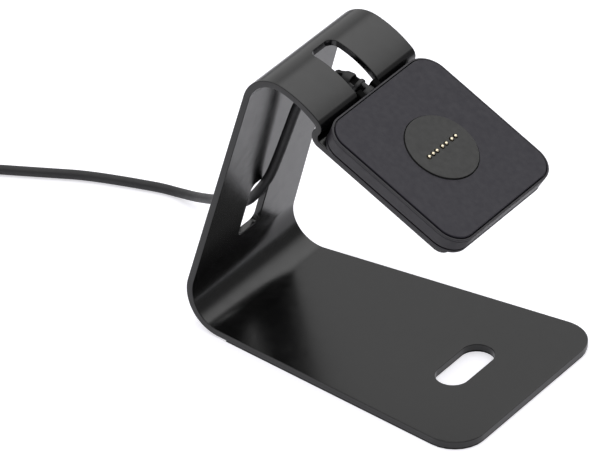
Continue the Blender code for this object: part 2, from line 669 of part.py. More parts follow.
def boot_rings(points, radii, flats):
    """Rings across a route, each a circle cut to a spine between two slots where flats says so."""
    rings = []
    for i, middle in enumerate(points):
        before, after = points[max(i - 1, 0)], points[min(i + 1, len(points) - 1)]
        along = (after - before).normalized()
        side = Vector((0, 1, 0))
        up = along.cross(side).normalized()
        ring = []
        for k in range(BOOT_SIDES):
            angle = 2 * math.pi * (k + 0.5) / BOOT_SIDES
            a, b = radii[i] * math.cos(angle), radii[i] * math.sin(angle)
            if flats[i] == "side":
                a = max(-BOOT_SPINE, min(BOOT_SPINE, a))
            if flats[i] == "up":
                b = max(-BOOT_SPINE, min(BOOT_SPINE, b))
            ring.append(middle + side * a + up * b)
        rings.append(ring)
    return rings


def boot_start(frame):
    """The middle of the boot where it meets the pad's wall, and the way it goes from there."""
    turn = Matrix.Rotation(PANEL_TILT, 3, "Y")
    start = frame.location + turn @ Vector((-PAD_LENGTH / 2 - SEAT, 0, BOOT_RISE))
    return start, turn @ Vector((-1, 0, 0))


def make_boot(frame, look):
    """The strain relief: a collar in the tray, a neck through its wall and a slotted, tapered sleeve."""
    start, out = boot_start(frame)
    seat = RIM_LAND + PAD_WALL + 2 * SEAT
    neck = [(start - out * (seat + BOOT_COLLAR), BOOT_COLLAR_RADIUS),
            (start - out * seat, BOOT_COLLAR_RADIUS),
            (start - out * (seat - SHOULDER), BOOT_NECK_RADIUS),
            (start - out * SHOULDER, BOOT_NECK_RADIUS)]
    route = smooth_route([start / MM, (start + out * BOOT_SLOT_FIRST) / MM, *BOOT_ROUTE], BOOT_STEP)
    total = sum((b - a).length for a, b in zip(route[:-1], route[1:]))

    def at(distance):
        position = min(distance / total, 1) * (len(route) - 1)
        i = min(int(position), len(route) - 2)
        return route[i].lerp(route[i + 1], position - i)

    cuts = []
    for k in range(BOOT_SLOTS):
        low = BOOT_SLOT_FIRST + k * BOOT_SLOT_PITCH
        way = ("up", "side")[k % 2]
        cuts += [(low, None), (low + BOOT_SLOT_DRAFT, way), (low + BOOT_SLOT, way),
                 (low + BOOT_SLOT + BOOT_SLOT_DRAFT, None)]
    stations = [(0, None)] + cuts + [(total - BOOT_TIP_EDGE, None), (total, None)]
    points, radii, flats = [], [], []
    for point, radius in neck:
        points.append(point)
        radii.append(radius)
        flats.append(None)
    for distance, flat in stations:
        points.append(at(distance))
        radii.append(BOOT_RADIUS + (BOOT_TIP_RADIUS - BOOT_RADIUS) * distance / total)
        flats.append(flat)
    radii[-1] -= BOOT_TIP_STEP
    return add_object("strain_relief", loft(bmesh.new(), boot_rings(points, radii, flats)), look)


def make_tube(name, points, look):
    """A length of cable along points."""
    curve = bpy.data.curves.new(name, "CURVE")
    curve.dimensions = "3D"
    curve.bevel_depth = CORD_RADIUS
    curve.bevel_resolution = 2
    curve.use_fill_caps = True
    spline = curve.splines.new("POLY")
    spline.points.add(len(points) - 1)
    for place, point in zip(spline.points, points):
        place.co = (*point, 1)
    made = bpy.data.objects.new(name, curve)
    bpy.context.collection.objects.link(made)
    curve.materials.append(look)
    return made


def trim(points, start, end):
    """The route without a little of each end."""
    first = points[0] + (points[1] - points[0]).normalized() * start
    last = points[-1] + (points[-2] - points[-1]).normalized() * end
    return [first, *points[1:-1], last]


def make_cord(look, tie_look):
    """The cable, the ring that holds its stored length, the tie and the tail to the plug."""
    make_tube("cable", trim(smooth_route(CORD_ROUTE, CORD_STEP), CORD_END_GAP, 0), look)
    inner, outer = COIL_RADIUS - COIL_BUNDLE_WIDTH / 2, COIL_RADIUS + COIL_BUNDLE_WIDTH / 2
    low, high = COIL_LIFT, COIL_LIFT + COIL_BUNDLE_HEIGHT
    edge = COIL_EDGE
    section = [(inner + edge, low), (outer - edge, low), (outer, low + edge), (outer, high - edge),
               (outer - edge, high), (inner + edge, high), (inner, high - edge), (inner, low + edge)]
    turned("cable_coil", section, COIL_SIDES, look, None, (*COIL_CENTRE, 0), True)
    make_tube("cable_tail", trim(smooth_route(TAIL_ROUTE, CORD_STEP / 2), 0, CORD_END_GAP), look)
    middle = (COIL_RADIUS, (low + high) / 2)
    rings = []
    for across in (-TIE_WIDTH / 2, TIE_WIDTH / 2):
        for grow in (TIE_GAP, TIE_GAP + TIE):
            outline = rounded_rectangle(COIL_BUNDLE_WIDTH + 2 * grow, COIL_BUNDLE_HEIGHT + 2 * grow,
                                        CORD_RADIUS + grow, 4)
            rings.append([(middle[0] + x, across, middle[1] + z) for x, z in outline])
    ordered = [rings[0], rings[1], rings[3], rings[2]]
    tie = add_object("cable_tie", loft(bmesh.new(), ordered, True), tie_look)
    tie.location = (*COIL_CENTRE, 0)
    tie.rotation_euler = (0, 0, TIE_ANGLE)


def make_plug(cord_look, metal, plastic):
    """The plug at the cable's far end: its grip, its metal shell and the tongue inside."""
    end, before = Vector(TAIL_ROUTE[-1]) * MM, Vector(TAIL_ROUTE[-2]) * MM
    frame = bpy.data.objects.new("plug_frame", None)
    bpy.context.collection.objects.link(frame)
    frame.location = (end.x, end.y, GRIP_HEIGHT / 2 + SEAT)
    frame.rotation_euler = (0, 0, math.atan2(end.y - before.y, end.x - before.x))
    rings = []
    for x, inset in ((0, GRIP_EDGE), (GRIP_EDGE, 0), (GRIP_LENGTH - GRIP_EDGE / 2, 0),
                     (GRIP_LENGTH, GRIP_EDGE / 2)):
        rings.append([(x, y, z) for y, z in rounded_rectangle(GRIP_WIDTH - 2 * inset, GRIP_HEIGHT - 2 * inset,
                                                             GRIP_CORNER - inset, 4)])
    add_object("usb_overmould", loft(bmesh.new(), rings), cord_look, frame)
    start = GRIP_LENGTH + SEAT
    rings = []
    end = start + SHELL_LENGTH
    for x, inset in ((start, 0), (end, 0), (end, SHELL_WALL), (start, SHELL_WALL)):
        outline = rounded_rectangle(SHELL_WIDTH - 2 * inset, SHELL_HEIGHT - 2 * inset,
                                    SHELL_CORNER - inset / 2, 3)
        rings.append([(x, y, z) for y, z in outline])
    add_object("usb_shell", loft(bmesh.new(), rings, True), metal, frame)
    low = -SHELL_HEIGHT / 2 + SHELL_WALL + SEAT
    rings = []
    for x in (start, start + SHELL_LENGTH - TONGUE_SETBACK):
        outline = rounded_rectangle(TONGUE_WIDTH, TONGUE_HEIGHT, TONGUE_CORNER, 1)
        rings.append([(x, y, z + low + TONGUE_HEIGHT / 2) for y, z in outline])
    add_object("usb_tongue", loft(bmesh.new(), rings), plastic, frame)


def main():
    """Builds every piece."""
    clear_scene()
    coat = material("black_coat", (0.02, 0.02, 0.022), 0.35, 0.3)
    rubber = material("black_rubber", (0.012, 0.012, 0.012), 0.8)
    moulding = material("black_moulding", (0.03, 0.03, 0.032), 0.55)
    cover = material("cover_moulding", (0.034, 0.034, 0.036), 0.6)
    disc = material("disc_moulding", (0.05, 0.052, 0.05), 0.5)
    sleeve = material("cable_sleeve", (0.04, 0.04, 0.042), 0.45)
    gold = material("gold_plate", (0.9, 0.72, 0.4), 0.25, 1)
    brass = material("brass", (0.7, 0.55, 0.3), 0.35, 1)
    steel = material("steel", (0.6, 0.6, 0.62), 0.35, 1)
    board = material("board", (0.01, 0.1, 0.04), 0.5)
    white = material("white_plastic", (0.8, 0.8, 0.8), 0.5)
    make_stand(coat)
    make_mat(rubber)
    frame = pad_frame()
    make_housing(frame, moulding)
    make_cover(frame, cover)
    make_disc(frame, disc)
    make_contacts(frame, gold, brass, steel)
    make_board(frame, board)
    make_screws(frame, steel)
    make_boot(frame, moulding)
    make_cord(sleeve, rubber)
    make_plug(moulding, steel, white)


main()
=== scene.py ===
"""Looks of the phone charging dock: coated steel stand, moulded pad, sprung contacts and cable."""
import json
import math

import bmesh
import bpy
from mathutils import Matrix, Vector

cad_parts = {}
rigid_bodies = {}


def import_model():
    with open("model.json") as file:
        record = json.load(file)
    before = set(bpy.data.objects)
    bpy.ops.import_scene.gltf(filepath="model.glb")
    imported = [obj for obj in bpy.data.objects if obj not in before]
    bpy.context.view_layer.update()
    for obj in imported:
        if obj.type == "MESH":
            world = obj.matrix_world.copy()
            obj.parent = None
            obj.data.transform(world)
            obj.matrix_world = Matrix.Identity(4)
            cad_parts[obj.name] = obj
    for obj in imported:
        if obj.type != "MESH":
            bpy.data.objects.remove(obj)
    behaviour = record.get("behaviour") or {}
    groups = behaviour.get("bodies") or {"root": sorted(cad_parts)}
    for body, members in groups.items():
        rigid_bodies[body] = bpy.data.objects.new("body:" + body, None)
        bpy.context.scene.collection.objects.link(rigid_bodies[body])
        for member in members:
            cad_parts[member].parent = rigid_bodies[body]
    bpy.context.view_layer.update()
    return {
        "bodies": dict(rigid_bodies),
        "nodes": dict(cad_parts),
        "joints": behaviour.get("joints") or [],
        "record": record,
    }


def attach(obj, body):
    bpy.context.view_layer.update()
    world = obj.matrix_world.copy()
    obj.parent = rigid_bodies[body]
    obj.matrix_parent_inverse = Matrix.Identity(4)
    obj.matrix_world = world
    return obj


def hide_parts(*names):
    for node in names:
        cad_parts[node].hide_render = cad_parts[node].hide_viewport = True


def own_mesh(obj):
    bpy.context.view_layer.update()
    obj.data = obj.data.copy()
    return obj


MM = 0.001

# Camera, from the photograph
CAMERA_PLACE = (1.19596, -1.76114, 1.46001)
CAMERA_TILT = math.radians(56.3952)
CAMERA_TURN = math.radians(34.9552)
CAMERA_LENS = 450.995
CAMERA_SENSOR = 36
CAMERA_REACH = 100            # farthest that it sees, in metres

# Clearances
SEAT = 0.25 * MM              # between a piece and what it is fixed to
ROUND_SLACK = 0.01 * MM       # keeps the rounded ends of a slot from meeting
THREAD_GAP = 0.1 * MM         # between a screw and its boss
RUNNING = 0.08 * MM           # around a sliding contact pin

# Sheet and its mat
SHEET = 2.5 * MM
SHEET_EDGE = 0.3 * MM         # softened edge along every cut
MAT = 0.4 * MM

# Side profile of the bent sheet, from the front edge back, up and over to the pad
FOOT_FLAT = 108.5 * MM
FOOT_BEND_RADIUS = 12.1 * MM
LEAN = math.radians(15.25)
UPRIGHT = 83.9 * MM
TOP_BEND_RADIUS = 10.65 * MM
TOP_TURN = math.radians(91.1)
ARM = 15.85 * MM
ARM_TURN = math.radians(24.1)
NOSE_RADIUS = 1.5 * MM
NOSE_TURN = math.radians(91.2)
PANEL_BEND_RADIUS = 1.6 * MM
PANEL_TILT = math.radians(25.94)
PANEL_SHORTFALL = 3.9 * MM    # from the panel's front edge to the pad's front wall
BEND_STEP = math.radians(2.5)  # turn of one facet of a bend

# Widths of the flat blank
FRONT_WIDTH = 87.3 * MM
FOOT_WIDTH = 63.4 * MM
UPRIGHT_WIDTH = 60.3 * MM
TOP_WIDTH = 55.8 * MM
PANEL_WIDTH = 56.5 * MM
FRONT_CORNER = 12.0 * MM
PANEL_CORNER = 4.0 * MM

# Facets of rounded corners, softened edges and turned shapes
CORNER_STEPS = 16
REST_CORNER_STEPS = 2
EDGE_STEPS = 4
SHEET_EDGE_STEPS = 3
PIN_SIDES = 24
SCREW_SIDES = 32
SCREW_HOLE_SIDES = 16         # of the screws' holes in the sheet
DISC_SIDES = 128
BOOT_SIDES = 48
EDGE_ANGLES = [math.pi / 2 * i / EDGE_STEPS for i in range(EDGE_STEPS + 1)]
SMOOTH_UP_TO = math.radians(35)    # turn between two facets that are shaded as one surface

# Tolerances of the sheet's mesh
BEND_SLACK = 0.001            # of a facet, that a bend's turn may pass a whole number of facets by
FOLD_SLACK = 0.0001 * MM      # points this near a fold line lie on it
WELD = 0.001 * MM             # points nearer than this become one
FLAT_WITHIN = 0.001           # faces that meet at a smaller angle become one
EDGE_OVER = math.radians(60)  # edges that turn more than this are softened

# Openings in the blank
OPENING_CORNER = 2.5 * MM
ARM_WINDOW_CORNER = 3.0 * MM
ARM_WINDOW_WIDTH = 12.2 * MM
ARM_WINDOW_REACH = 4.4 * MM   # back from the arm, into the top bend
CABLE_SLOT_WIDTH = 12.4 * MM
CABLE_SLOT_LENGTH = 23.9 * MM
CABLE_SLOT_RISE = 6.25 * MM   # above the foot bend
FOOT_SLOT_WIDTH = 12.0 * MM
FOOT_SLOT_LENGTH = 27.0 * MM
FOOT_SLOT_SETBACK = 28.1 * MM  # from the front edge to the slot's middle

# Charging pad, in its own frame on the panel's upper face
PAD_NOSE_GAP = 0.4 * MM       # between the nose and the pad's back wall
PAD_HEIGHT = 8.0 * MM
PAD_LENGTH = 61.5 * MM
PAD_WIDTH = 60.7 * MM
PAD_CORNER = 9.0 * MM
PAD_DRAFT = 0.45 * MM         # the housing's sides lean in by this much at its back
PAD_WALL = 1.7 * MM
PAD_FLOOR = 1.0 * MM
RIM_DROP = 0.5 * MM           # from the pad's face down to the rim
RIM_LAND = 0.45 * MM
RIM_EDGE = 0.2 * MM
COVER = 1.4 * MM
COVER_EDGE = 0.35 * MM

# Open gaps of the pad, a little wider than in the solids
COVER_GROOVE = 0.45 * MM      # between the rim and the cover
DISC_RING = 0.3 * MM          # round the contact plate
PIN_RING = 0.38 * MM          # round each contact

# Shadow gap over the housing's lip, and a fine line round its side under the rim
LIP = 1.15 * MM
LIP_GAP = 0.5 * MM
LIP_DEPTH = 0.9 * MM
LIP_EDGE = 0.2 * MM
LINE_DROP = 0.75 * MM         # from the rim down to the line
LINE_WIDTH = 0.3 * MM
LINE_DEPTH = 0.12 * MM
LINE_SLOPE = 0.2              # of the line's width, taken by each of its sides

# Round contact plate
DISC_RADIUS = 13.5 * MM
DISC_PROUD = 0.5 * MM
DISC_EDGE = 0.2 * MM
DISC_SKIN = 1.2 * MM          # solid top over the pocket for the contacts
FLANGE = 1.6 * MM
FLANGE_HEIGHT = 2.2 * MM

# Spring contacts, in one row across the plate
PIN_COUNTS = (3, 2, 2)
PIN_PITCH = 2.28 * MM
PIN_GROUP_PITCH = 3.25 * MM
PIN_RADIUS = 0.58 * MM
PIN_HEAD_RADIUS = 0.76 * MM
BARREL_WALL = 0.14 * MM
POCKET_GAP = 0.15 * MM

# Inside the pad
BOARD = 0.8 * MM
REST_WIDTH = 1.5 * MM
REST_LENGTH = 26.0 * MM
REST_CORNER = 0.3 * MM
REST_SPREAD = 20.0 * MM       # from the middle to each of the two ribs under the board

# Screws, from behind the panel into the cover
SCREW_ALONG = 21.4 * MM
SCREW_ACROSS = 20.5 * MM
SCREW_RADIUS = 1.2 * MM
SCREW_HOLE_GAP = 0.25 * MM
SCREW_BITE = 2.8 * MM
BOSS_WALL = 1.3 * MM

# Strain relief
BOOT_RISE = 3.95 * MM         # from the panel to the boot's middle at the pad's wall
BOOT_RADIUS = 3.1 * MM
BOOT_TIP_RADIUS = 2.3 * MM
BOOT_NECK_RADIUS = 1.9 * MM
BOOT_COLLAR_RADIUS = 2.2 * MM
BOOT_COLLAR = 1.2 * MM
SHOULDER = 0.02 * MM          # length of a step between two radii
BOOT_STRAIGHT = 2.6 * MM      # straight out of the pad's wall
BOOT_SOFT = 0.25 * MM         # softened edge of each segment
BOOT_SLOT = 2.1 * MM
BOOT_SLOT_DRAFT = 0.1 * MM    # along the boot, at each end of a slot
BOOT_SPINE = 0.8 * MM         # half the thickness left between two slots
BOOT_TIP_EDGE = 0.6 * MM
BOOT_TIP_STEP = 0.3 * MM
BOOT_PAINTED_SHADE_WITHIN = 2.2 * MM   # faces this near the middle get a painted shade, as inside the slots
BOOT_PAINTED_SHADE = 1                 # place of the near-black painted-shade look in the boot's materials
# Where the slots start, from the pad's wall
BOOT_SLOT_STARTS = [k * MM for k in (1.9, 5.5, 10.6, 13.7, 16.8)]
# Middle of the boot, from the pad's wall to where the cable leaves it
BOOT_ROUTE = [(-12.2, 0, 99.9), (-15.6, 0, 100.7), (-19.0, 0, 100.1), (-22.4, 0, 98.2), (-25.4, 0, 95.2)]

# Painted shade: two dark blocks on the pad's wall, one on each side of the boot, where shade falls beside it
SHADE_BLOCK = 2.8 * MM                # out from the wall
SHADE_BLOCK_WIDTH = 2.8 * MM
SHADE_BLOCK_HEIGHT = 6.4 * MM
SHADE_BLOCK_CORNER = 0.5 * MM
SHADE_BLOCK_CORNER_STEPS = 4
SHADE_BLOCK_SPREAD = 4.4 * MM         # from the boot's middle to each ear's
SHADE_BLOCK_LIFT = -0.45 * MM         # from the boot's middle, along the pad's normal
SHADE_BLOCK_EDGE_MIDDLE = 0.3         # of the softened edge, by which its middle lies inside its corner

# Worked out from the sizes above
DEPTH = FOOT_FLAT + FOOT_BEND_RADIUS + SHEET
PANEL_TURN = TOP_TURN + ARM_TURN + NOSE_TURN - (math.pi / 2 - LEAN) - PANEL_TILT
NOSE_BULGE = (PANEL_BEND_RADIUS + NOSE_RADIUS + SHEET) * (1 - math.cos(PANEL_TURN - math.pi / 2))
PAD_SETBACK = PAD_LENGTH / 2 + PAD_NOSE_GAP - PANEL_BEND_RADIUS + NOSE_BULGE
PANEL = PAD_SETBACK + PAD_LENGTH / 2 - PANEL_SHORTFALL
SHEET_BASE = MAT + SEAT
COVER_TOP = PAD_HEIGHT
COVER_BASE = COVER_TOP - COVER
RIM_TOP = PAD_HEIGHT - RIM_DROP
DISC_TOP = COVER_TOP + DISC_PROUD
FLANGE_TOP = COVER_BASE - SEAT
DISC_BASE = FLANGE_TOP - FLANGE_HEIGHT
BOARD_TOP = DISC_BASE - SEAT
BARREL_RADIUS = PIN_HEAD_RADIUS + RUNNING + BARREL_WALL
HOUSING_FLOOR_TOP = SEAT + PAD_FLOOR
BOSS_BASE = HOUSING_FLOOR_TOP + SEAT

# Cable, with the same route as the part
CORD_RADIUS = 1.78 * MM
CORD_FACETS = 6               # a curve's own measure of how round it is
ROUTE_STEPS = 12              # between two points of a route
BOOT_TIP = BOOT_ROUTE[-1]
CORD_ROUTE = [BOOT_TIP, (-29.4, 0, 91.0), (-33.2, 0, 86.6), (-36.2, 0, 82.2), (-39.3, 0, 73.4),
              (-43.0, -0.4, 62.0), (-46.1, -0.8, 53.0), (-48.4, -1.0, 48.1), (-51.8, -1.0, 42.6),
              (-55.8, -0.2, 37.4), (-61.4, 3.2, 32.0), (-69.6, 8.6, 25.8), (-79.8, 16.2, 18.8),
              (-90.2, 23.2, 11.6), (-100.6, 29.2, 5.4), (-109.2, 31.9, 2.3), (-116.4, 31.3, 1.85),
              (-123.4, 29.3, 1.85), (-131.2, 26.8, 1.85), (-138.6, 24.2, 1.85), (-145.4, 21.4, 1.85),
              (-151.6, 18.2, 1.85), (-158.0, 14.8, 1.85), (-164.4, 11.4, 1.85), (-170.8, 8.0, 1.85),
              (-180.4, 2.6, 1.85), (-189.8, -3.2, 1.95), (-199.4, -8.8, 2.4), (-209.6, -12.8, 3.0)]
TAIL_ROUTE = [(-245.7, 15.0, 6.6), (-245.9, 21.0, 6.4), (-246.8, 27.0, 5.7), (-248.8, 33.0, 5.0),
              (-251.6, 39.0, 4.6), (-255.0, 45.0, 4.4)]

# Stored length, wound inwards in a low layer and outwards in one on top of it
COIL_CENTRE = (-217.0, 15.0)
COIL_FIRST_ANGLE = -75.0
COIL_STEPS = 60               # in one turn
# Where in its turns the cable changes place, as (turns, radius, height)
COIL_LAY = [(0, 28.6, 3.0), (0.12, 24.6, 3.2), (1.0, 24.6, 3.2), (1.12, 21.0, 3.2), (2.0, 21.0, 3.2),
            (2.12, 17.4, 3.2), (2.86, 17.4, 3.2), (3.0, 17.4, 6.8), (3.74, 17.4, 6.8), (3.86, 21.0, 6.8),
            (4.62, 21.0, 6.8), (4.74, 24.6, 6.8), (5.14, 24.6, 6.8), (5.29, 28.6, 6.6)]
COIL_TURNS = COIL_LAY[-1][0]

# Noise of the materials: scales per metre, and the range that its values mostly keep to
NOISE_LOW = 0.3
NOISE_HIGH = 0.7
NOISE_DETAIL = 2
RELIEF_DETAIL = 3
COAT_CLOUDS = 45
COAT_SMEARS = 260
COAT_PEEL = 1400
MOULDED_CLOUDS = 90
MOULDED_SMEARS = 500
MOULDED_TEXTURE = 3000
SOFT_TEXTURE = 1800
SLEEVE_TEXTURE = 1500
BOARD_TEXTURE = 900
METAL_SMEARS = 2500
METAL_MARKS = 4000

# Fine relief of the materials
COAT_RELIEF = 0.06
COAT_RELIEF_HEIGHT = 0.04 * MM
MOULDED_RELIEF_HEIGHT = 0.03 * MM
METAL_RELIEF = 0.1
METAL_RELIEF_HEIGHT = 0.01 * MM

# Coat on the sheet, and how far roughness drifts in the other materials
COAT_DARK = (0.0004, 0.0004, 0.0006)
COAT_LIGHT = (0.0014, 0.0014, 0.0016)
COAT_SMOOTHEST = 0.2
COAT_ROUGHEST = 0.26
COAT_INDEX = 1.55
MOULDED_INDEX = 1.48
MOULDED_DRIFT = 0.05
METAL_DRIFT = 0.06

# Floor, which changes with the distance from its middle; values are near and far
FLOOR_SIZE = 12
FLOOR_DROP = 0.1 * MM         # keeps the floor's face off the mat's
FLOOR_NEAR = 0.2
FLOOR_FAR = 0.6
FLOOR_COLOUR = ((0.79, 0.785, 0.82), (0.34, 0.338, 0.353))
FLOOR_GLOW = (0.6, 1.0)
FLOOR_GLOW_MIRRORED = (0.4, 0.0)
FLOOR_GLOW_COLOUR = (0.97, 0.965, 1)

# Light: the sky's level at heights of its direction, a backdrop towards -X and a soft box behind
SKY = [(0.0, 0.24), (0.14, 0.25), (0.4, 0.28), (0.57, 0.31), (1.0, 0.75)]
BACKDROP_FROM = 0.0
BACKDROP_TO = -0.6
BACKDROP_LEVEL = 0.55
SOFT_BOX = (0.1, 0.68, 0.69)
SOFT_BOX_OUTER = math.radians(32)
SOFT_BOX_INNER = math.radians(8)
SOFT_BOX_LEVEL = 1.22
LAMP_PLACE = (0.1, -0.3, 1.5)
LAMP_TARGET = (0, 0, 0.05)
LAMP_SIZE = 1.0
LAMP_POWER = 4


def boolean(target, other, operation="DIFFERENCE"):
    """Cuts or joins with a hidden object."""
    other.hide_render = True
    other.display_type = "WIRE"
    modifier = target.modifiers.new(other.name, "BOOLEAN")
    modifier.operation = operation
    modifier.solver = "EXACT"
    modifier.object = other


def arc(centre, radius, start, turn, steps):
    """Points on an arc, both ends included."""
    return [(centre[0] + radius * math.cos(start + turn * i / steps),
             centre[1] + radius * math.sin(start + turn * i / steps)) for i in range(steps + 1)]


def rounded_rectangle(length, width, radius, steps=CORNER_STEPS):
    """Anticlockwise outline about the origin, length along X."""
    points = []
    for quarter, (sx, sy) in enumerate(((1, 1), (-1, 1), (-1, -1), (1, -1))):
        centre = (sx * (length / 2 - radius), sy * (width / 2 - radius))
        points += arc(centre, radius, quarter * math.pi / 2, math.pi / 2, steps)
    return points


def loft(bm, rings):
    """Joins rings of equal length with quads and caps the two ends."""
    made = [[bm.verts.new(point) for point in ring] for ring in rings]
    for low, high in zip(made[:-1], made[1:]):
        for i in range(len(low)):
            j = (i + 1) % len(low)
            bm.faces.new((low[i], low[j], high[j], high[i]))
    bm.faces.new(made[0][::-1])
    bm.faces.new(made[-1])
    return bm


def plate_rings(length, width, radius, profile):
    """Rings of a rounded plate from (inset, height) pairs."""
    return [[(x, y, z) for x, y in rounded_rectangle(length - 2 * inset, width - 2 * inset, radius - inset)]
            for inset, z in profile]


def turned_rings(profile, sides):
    """Rings of a turned solid from (radius, height) pairs."""
    return [[(r * math.cos(2 * math.pi * i / sides), r * math.sin(2 * math.pi * i / sides), z)
             for i in range(sides)] for r, z in profile]


def profile_stretches():
    """Stretches of the sheet's middle line: length and turn, positive to the left."""
    half = SHEET / 2
    foot_radius = FOOT_BEND_RADIUS + half
    nose_radius = NOSE_RADIUS + half
    panel_radius = PANEL_BEND_RADIUS + half
    return {
        "foot": (FOOT_FLAT, 0),
        "foot bend": (foot_radius * math.pi / 2, -math.pi / 2),
        "lean bend": (foot_radius * LEAN, -LEAN),
        "upright": (UPRIGHT, 0),
        "top bend": ((TOP_BEND_RADIUS + half) * TOP_TURN, -TOP_TURN),
        "arm": (ARM, -ARM_TURN),
        "nose": (nose_radius * NOSE_TURN, -NOSE_TURN),
        "panel bend": (panel_radius * PANEL_TURN, PANEL_TURN),
        "panel": (PANEL, 0),
    }


def profile_stations():
    """Where each stretch starts along the blank, and the middle line's s, x, z, heading at each fold line."""
    s, x, z, heading = 0.0, DEPTH / 2, SHEET_BASE + SHEET / 2, math.pi
    starts = {}
    stations = [(s, x, z, heading)]
    for name, (length, turn) in profile_stretches().items():
        starts[name] = s
        steps = max(1, math.ceil(abs(turn) / BEND_STEP - BEND_SLACK))
        chord = length / steps
        if turn:
            chord = 2 * length / abs(turn) * math.sin(abs(turn) / steps / 2)
        for _ in range(steps):
            middle = heading + turn / steps / 2
            x += chord * math.cos(middle)
            z += chord * math.sin(middle)
            heading += turn / steps
            s += length / steps
            stations.append((s, x, z, heading))
    return starts, stations


def bend_point(stations, s, y, n):
    """Where a point of the flat blank lies on the bent sheet; n is the height over the middle line."""
    for (s0, x0, z0, h0), (s1, x1, z1, h1) in zip(stations[:-1], stations[1:]):
        if s <= s1 + FOLD_SLACK:
            break
    low = (x0 - n * math.sin(h0), z0 + n * math.cos(h0))
    high = (x1 - n * math.sin(h1), z1 + n * math.cos(h1))
    share = (s - s0) / (s1 - s0)
    return Vector((low[0] + (high[0] - low[0]) * share, y, low[1] + (high[1] - low[1]) * share))


def corner_arc(before, corner, after, radius):
    """A rounded corner of an outline, tangent to both sides."""
    a = (Vector(before) - Vector(corner)).normalized()
    b = (Vector(after) - Vector(corner)).normalized()
    half = a.angle(b) / 2
    centre = Vector(corner) + (a + b).normalized() * radius / math.sin(half)
    start = Vector(corner) + a * radius / math.tan(half) - centre
    end = Vector(corner) + b * radius / math.tan(half) - centre
    turn = start.angle(end)
    if start.cross(end) < 0:
        turn = -turn
    first = math.atan2(start.y, start.x)
    return arc(centre, radius, first, turn, CORNER_STEPS)


def blank_outline(starts, length):
    """Outline of the flat blank, anticlockwise, as (s, y)."""
    half = [(0, FRONT_WIDTH / 2), (starts["foot bend"], FOOT_WIDTH / 2),
            (starts["upright"], UPRIGHT_WIDTH / 2), (starts["top bend"], TOP_WIDTH / 2),
            (starts["panel"], PANEL_WIDTH / 2), (length, PANEL_WIDTH / 2)]
    side = corner_arc((0, 0), half[0], half[1], FRONT_CORNER)
    side += half[1:-1]
    side += corner_arc(half[-2], half[-1], (length, 0), PANEL_CORNER)
    return side + [(s, -y) for s, y in reversed(side)]


def flat_cutter(name, outline, deep):
    """A prism through the blank, in the blank's own plane."""
    rings = [[(s, y, z) for s, y in outline] for z in (-deep, deep)]
    return add_object(name, loft(bmesh.new(), rings), None)


def blank_cutters(starts):
    """The openings' outlines, cut while the blank is flat."""
    window_start = starts["arm"] - ARM_WINDOW_REACH
    window_end = starts["panel"]
    window = rounded_rectangle(window_end - window_start, ARM_WINDOW_WIDTH, ARM_WINDOW_CORNER)
    slot = rounded_rectangle(CABLE_SLOT_LENGTH, CABLE_SLOT_WIDTH, OPENING_CORNER)
    slot_middle = starts["upright"] + CABLE_SLOT_RISE + CABLE_SLOT_LENGTH / 2
    foot_slot = rounded_rectangle(FOOT_SLOT_WIDTH, FOOT_SLOT_LENGTH, FOOT_SLOT_WIDTH / 2 - ROUND_SLACK)
    holes = {
        "cut_window": [(x + (window_start + window_end) / 2, y) for x, y in window],
        "cut_slot": [(x + slot_middle, y) for x, y in slot],
        "cut_foot": [(x + FOOT_SLOT_SETBACK, y) for x, y in foot_slot],
    }
    for i, (along, across) in enumerate(screw_places()):
        circle = arc((0, 0), SCREW_RADIUS + SCREW_HOLE_GAP, 0, 2 * math.pi, SCREW_HOLE_SIDES)[:-1]
        middle = starts["panel"] + PAD_SETBACK + along
        holes[f"cut_screw_{i + 1}"] = [(x + middle, y + across) for x, y in circle]
    return holes


def pad_frame():
    """An empty on the panel's upper face at the pad's middle, with X down the slope."""
    starts, stations = profile_stations()
    frame = bpy.data.objects.new("pad_frame", None)
    bpy.context.collection.objects.link(frame)
    frame.location = bend_point(stations, starts["panel"] + PAD_SETBACK, 0, SHEET / 2)
    frame.rotation_euler = (0, PANEL_TILT, 0)
    return frame


def screw_places():
    """The four screws, as (along, across) from the pad's middle."""
    return [(along * SCREW_ALONG, across * SCREW_ACROSS) for along in (-1, 1) for across in (-1, 1)]


def pin_places():
    """How far across each contact lies from the middle."""
    places = []
    across = 0.0
    for count in PIN_COUNTS:
        for _ in range(count):
            places.append(across)
            across += PIN_PITCH
        across += PIN_GROUP_PITCH - PIN_PITCH
    return [place - places[-1] / 2 for place in places]


def smooth_route(points):
    """Points along a smooth curve through the given ones, in metres."""
    anchors = [Vector(point) * MM for point in points]
    fine = []
    for i in range(len(anchors) - 1):
        before, a, b = anchors[max(i - 1, 0)], anchors[i], anchors[i + 1]
        after = anchors[min(i + 2, len(anchors) - 1)]
        for k in range(ROUTE_STEPS):
            t = k / ROUTE_STEPS
            fine.append(0.5 * ((2 * a) + (b - before) * t + (2 * before - 5 * a + 4 * b - after) * t ** 2
                               + (3 * a - before - 3 * b + after) * t ** 3))
    fine.append(anchors[-1])
    return fine


def ease(t):
    """Goes from 0 to 1 with a level start and end."""
    return t * t * (3 - 2 * t)


def coil_points():
    """The stored turns, from the route's end to the tail's start."""
    points = []
    count = round(COIL_TURNS * COIL_STEPS)
    for k in range(1, count):
        u = COIL_TURNS * k / count
        for (u0, r0, z0), (u1, r1, z1) in zip(COIL_LAY[:-1], COIL_LAY[1:]):
            if u <= u1:
                break
        t = ease((u - u0) / (u1 - u0))
        angle = math.radians(COIL_FIRST_ANGLE - 360 * u)
        r = r0 + (r1 - r0) * t
        points.append(Vector((COIL_CENTRE[0] + r * math.cos(angle), COIL_CENTRE[1] + r * math.sin(angle),
                              z0 + (z1 - z0) * t)) * MM)
    return points


def set_input(node, name, value):
    """Sets a plain value on a node's socket."""
    node.inputs[name].default_value = value


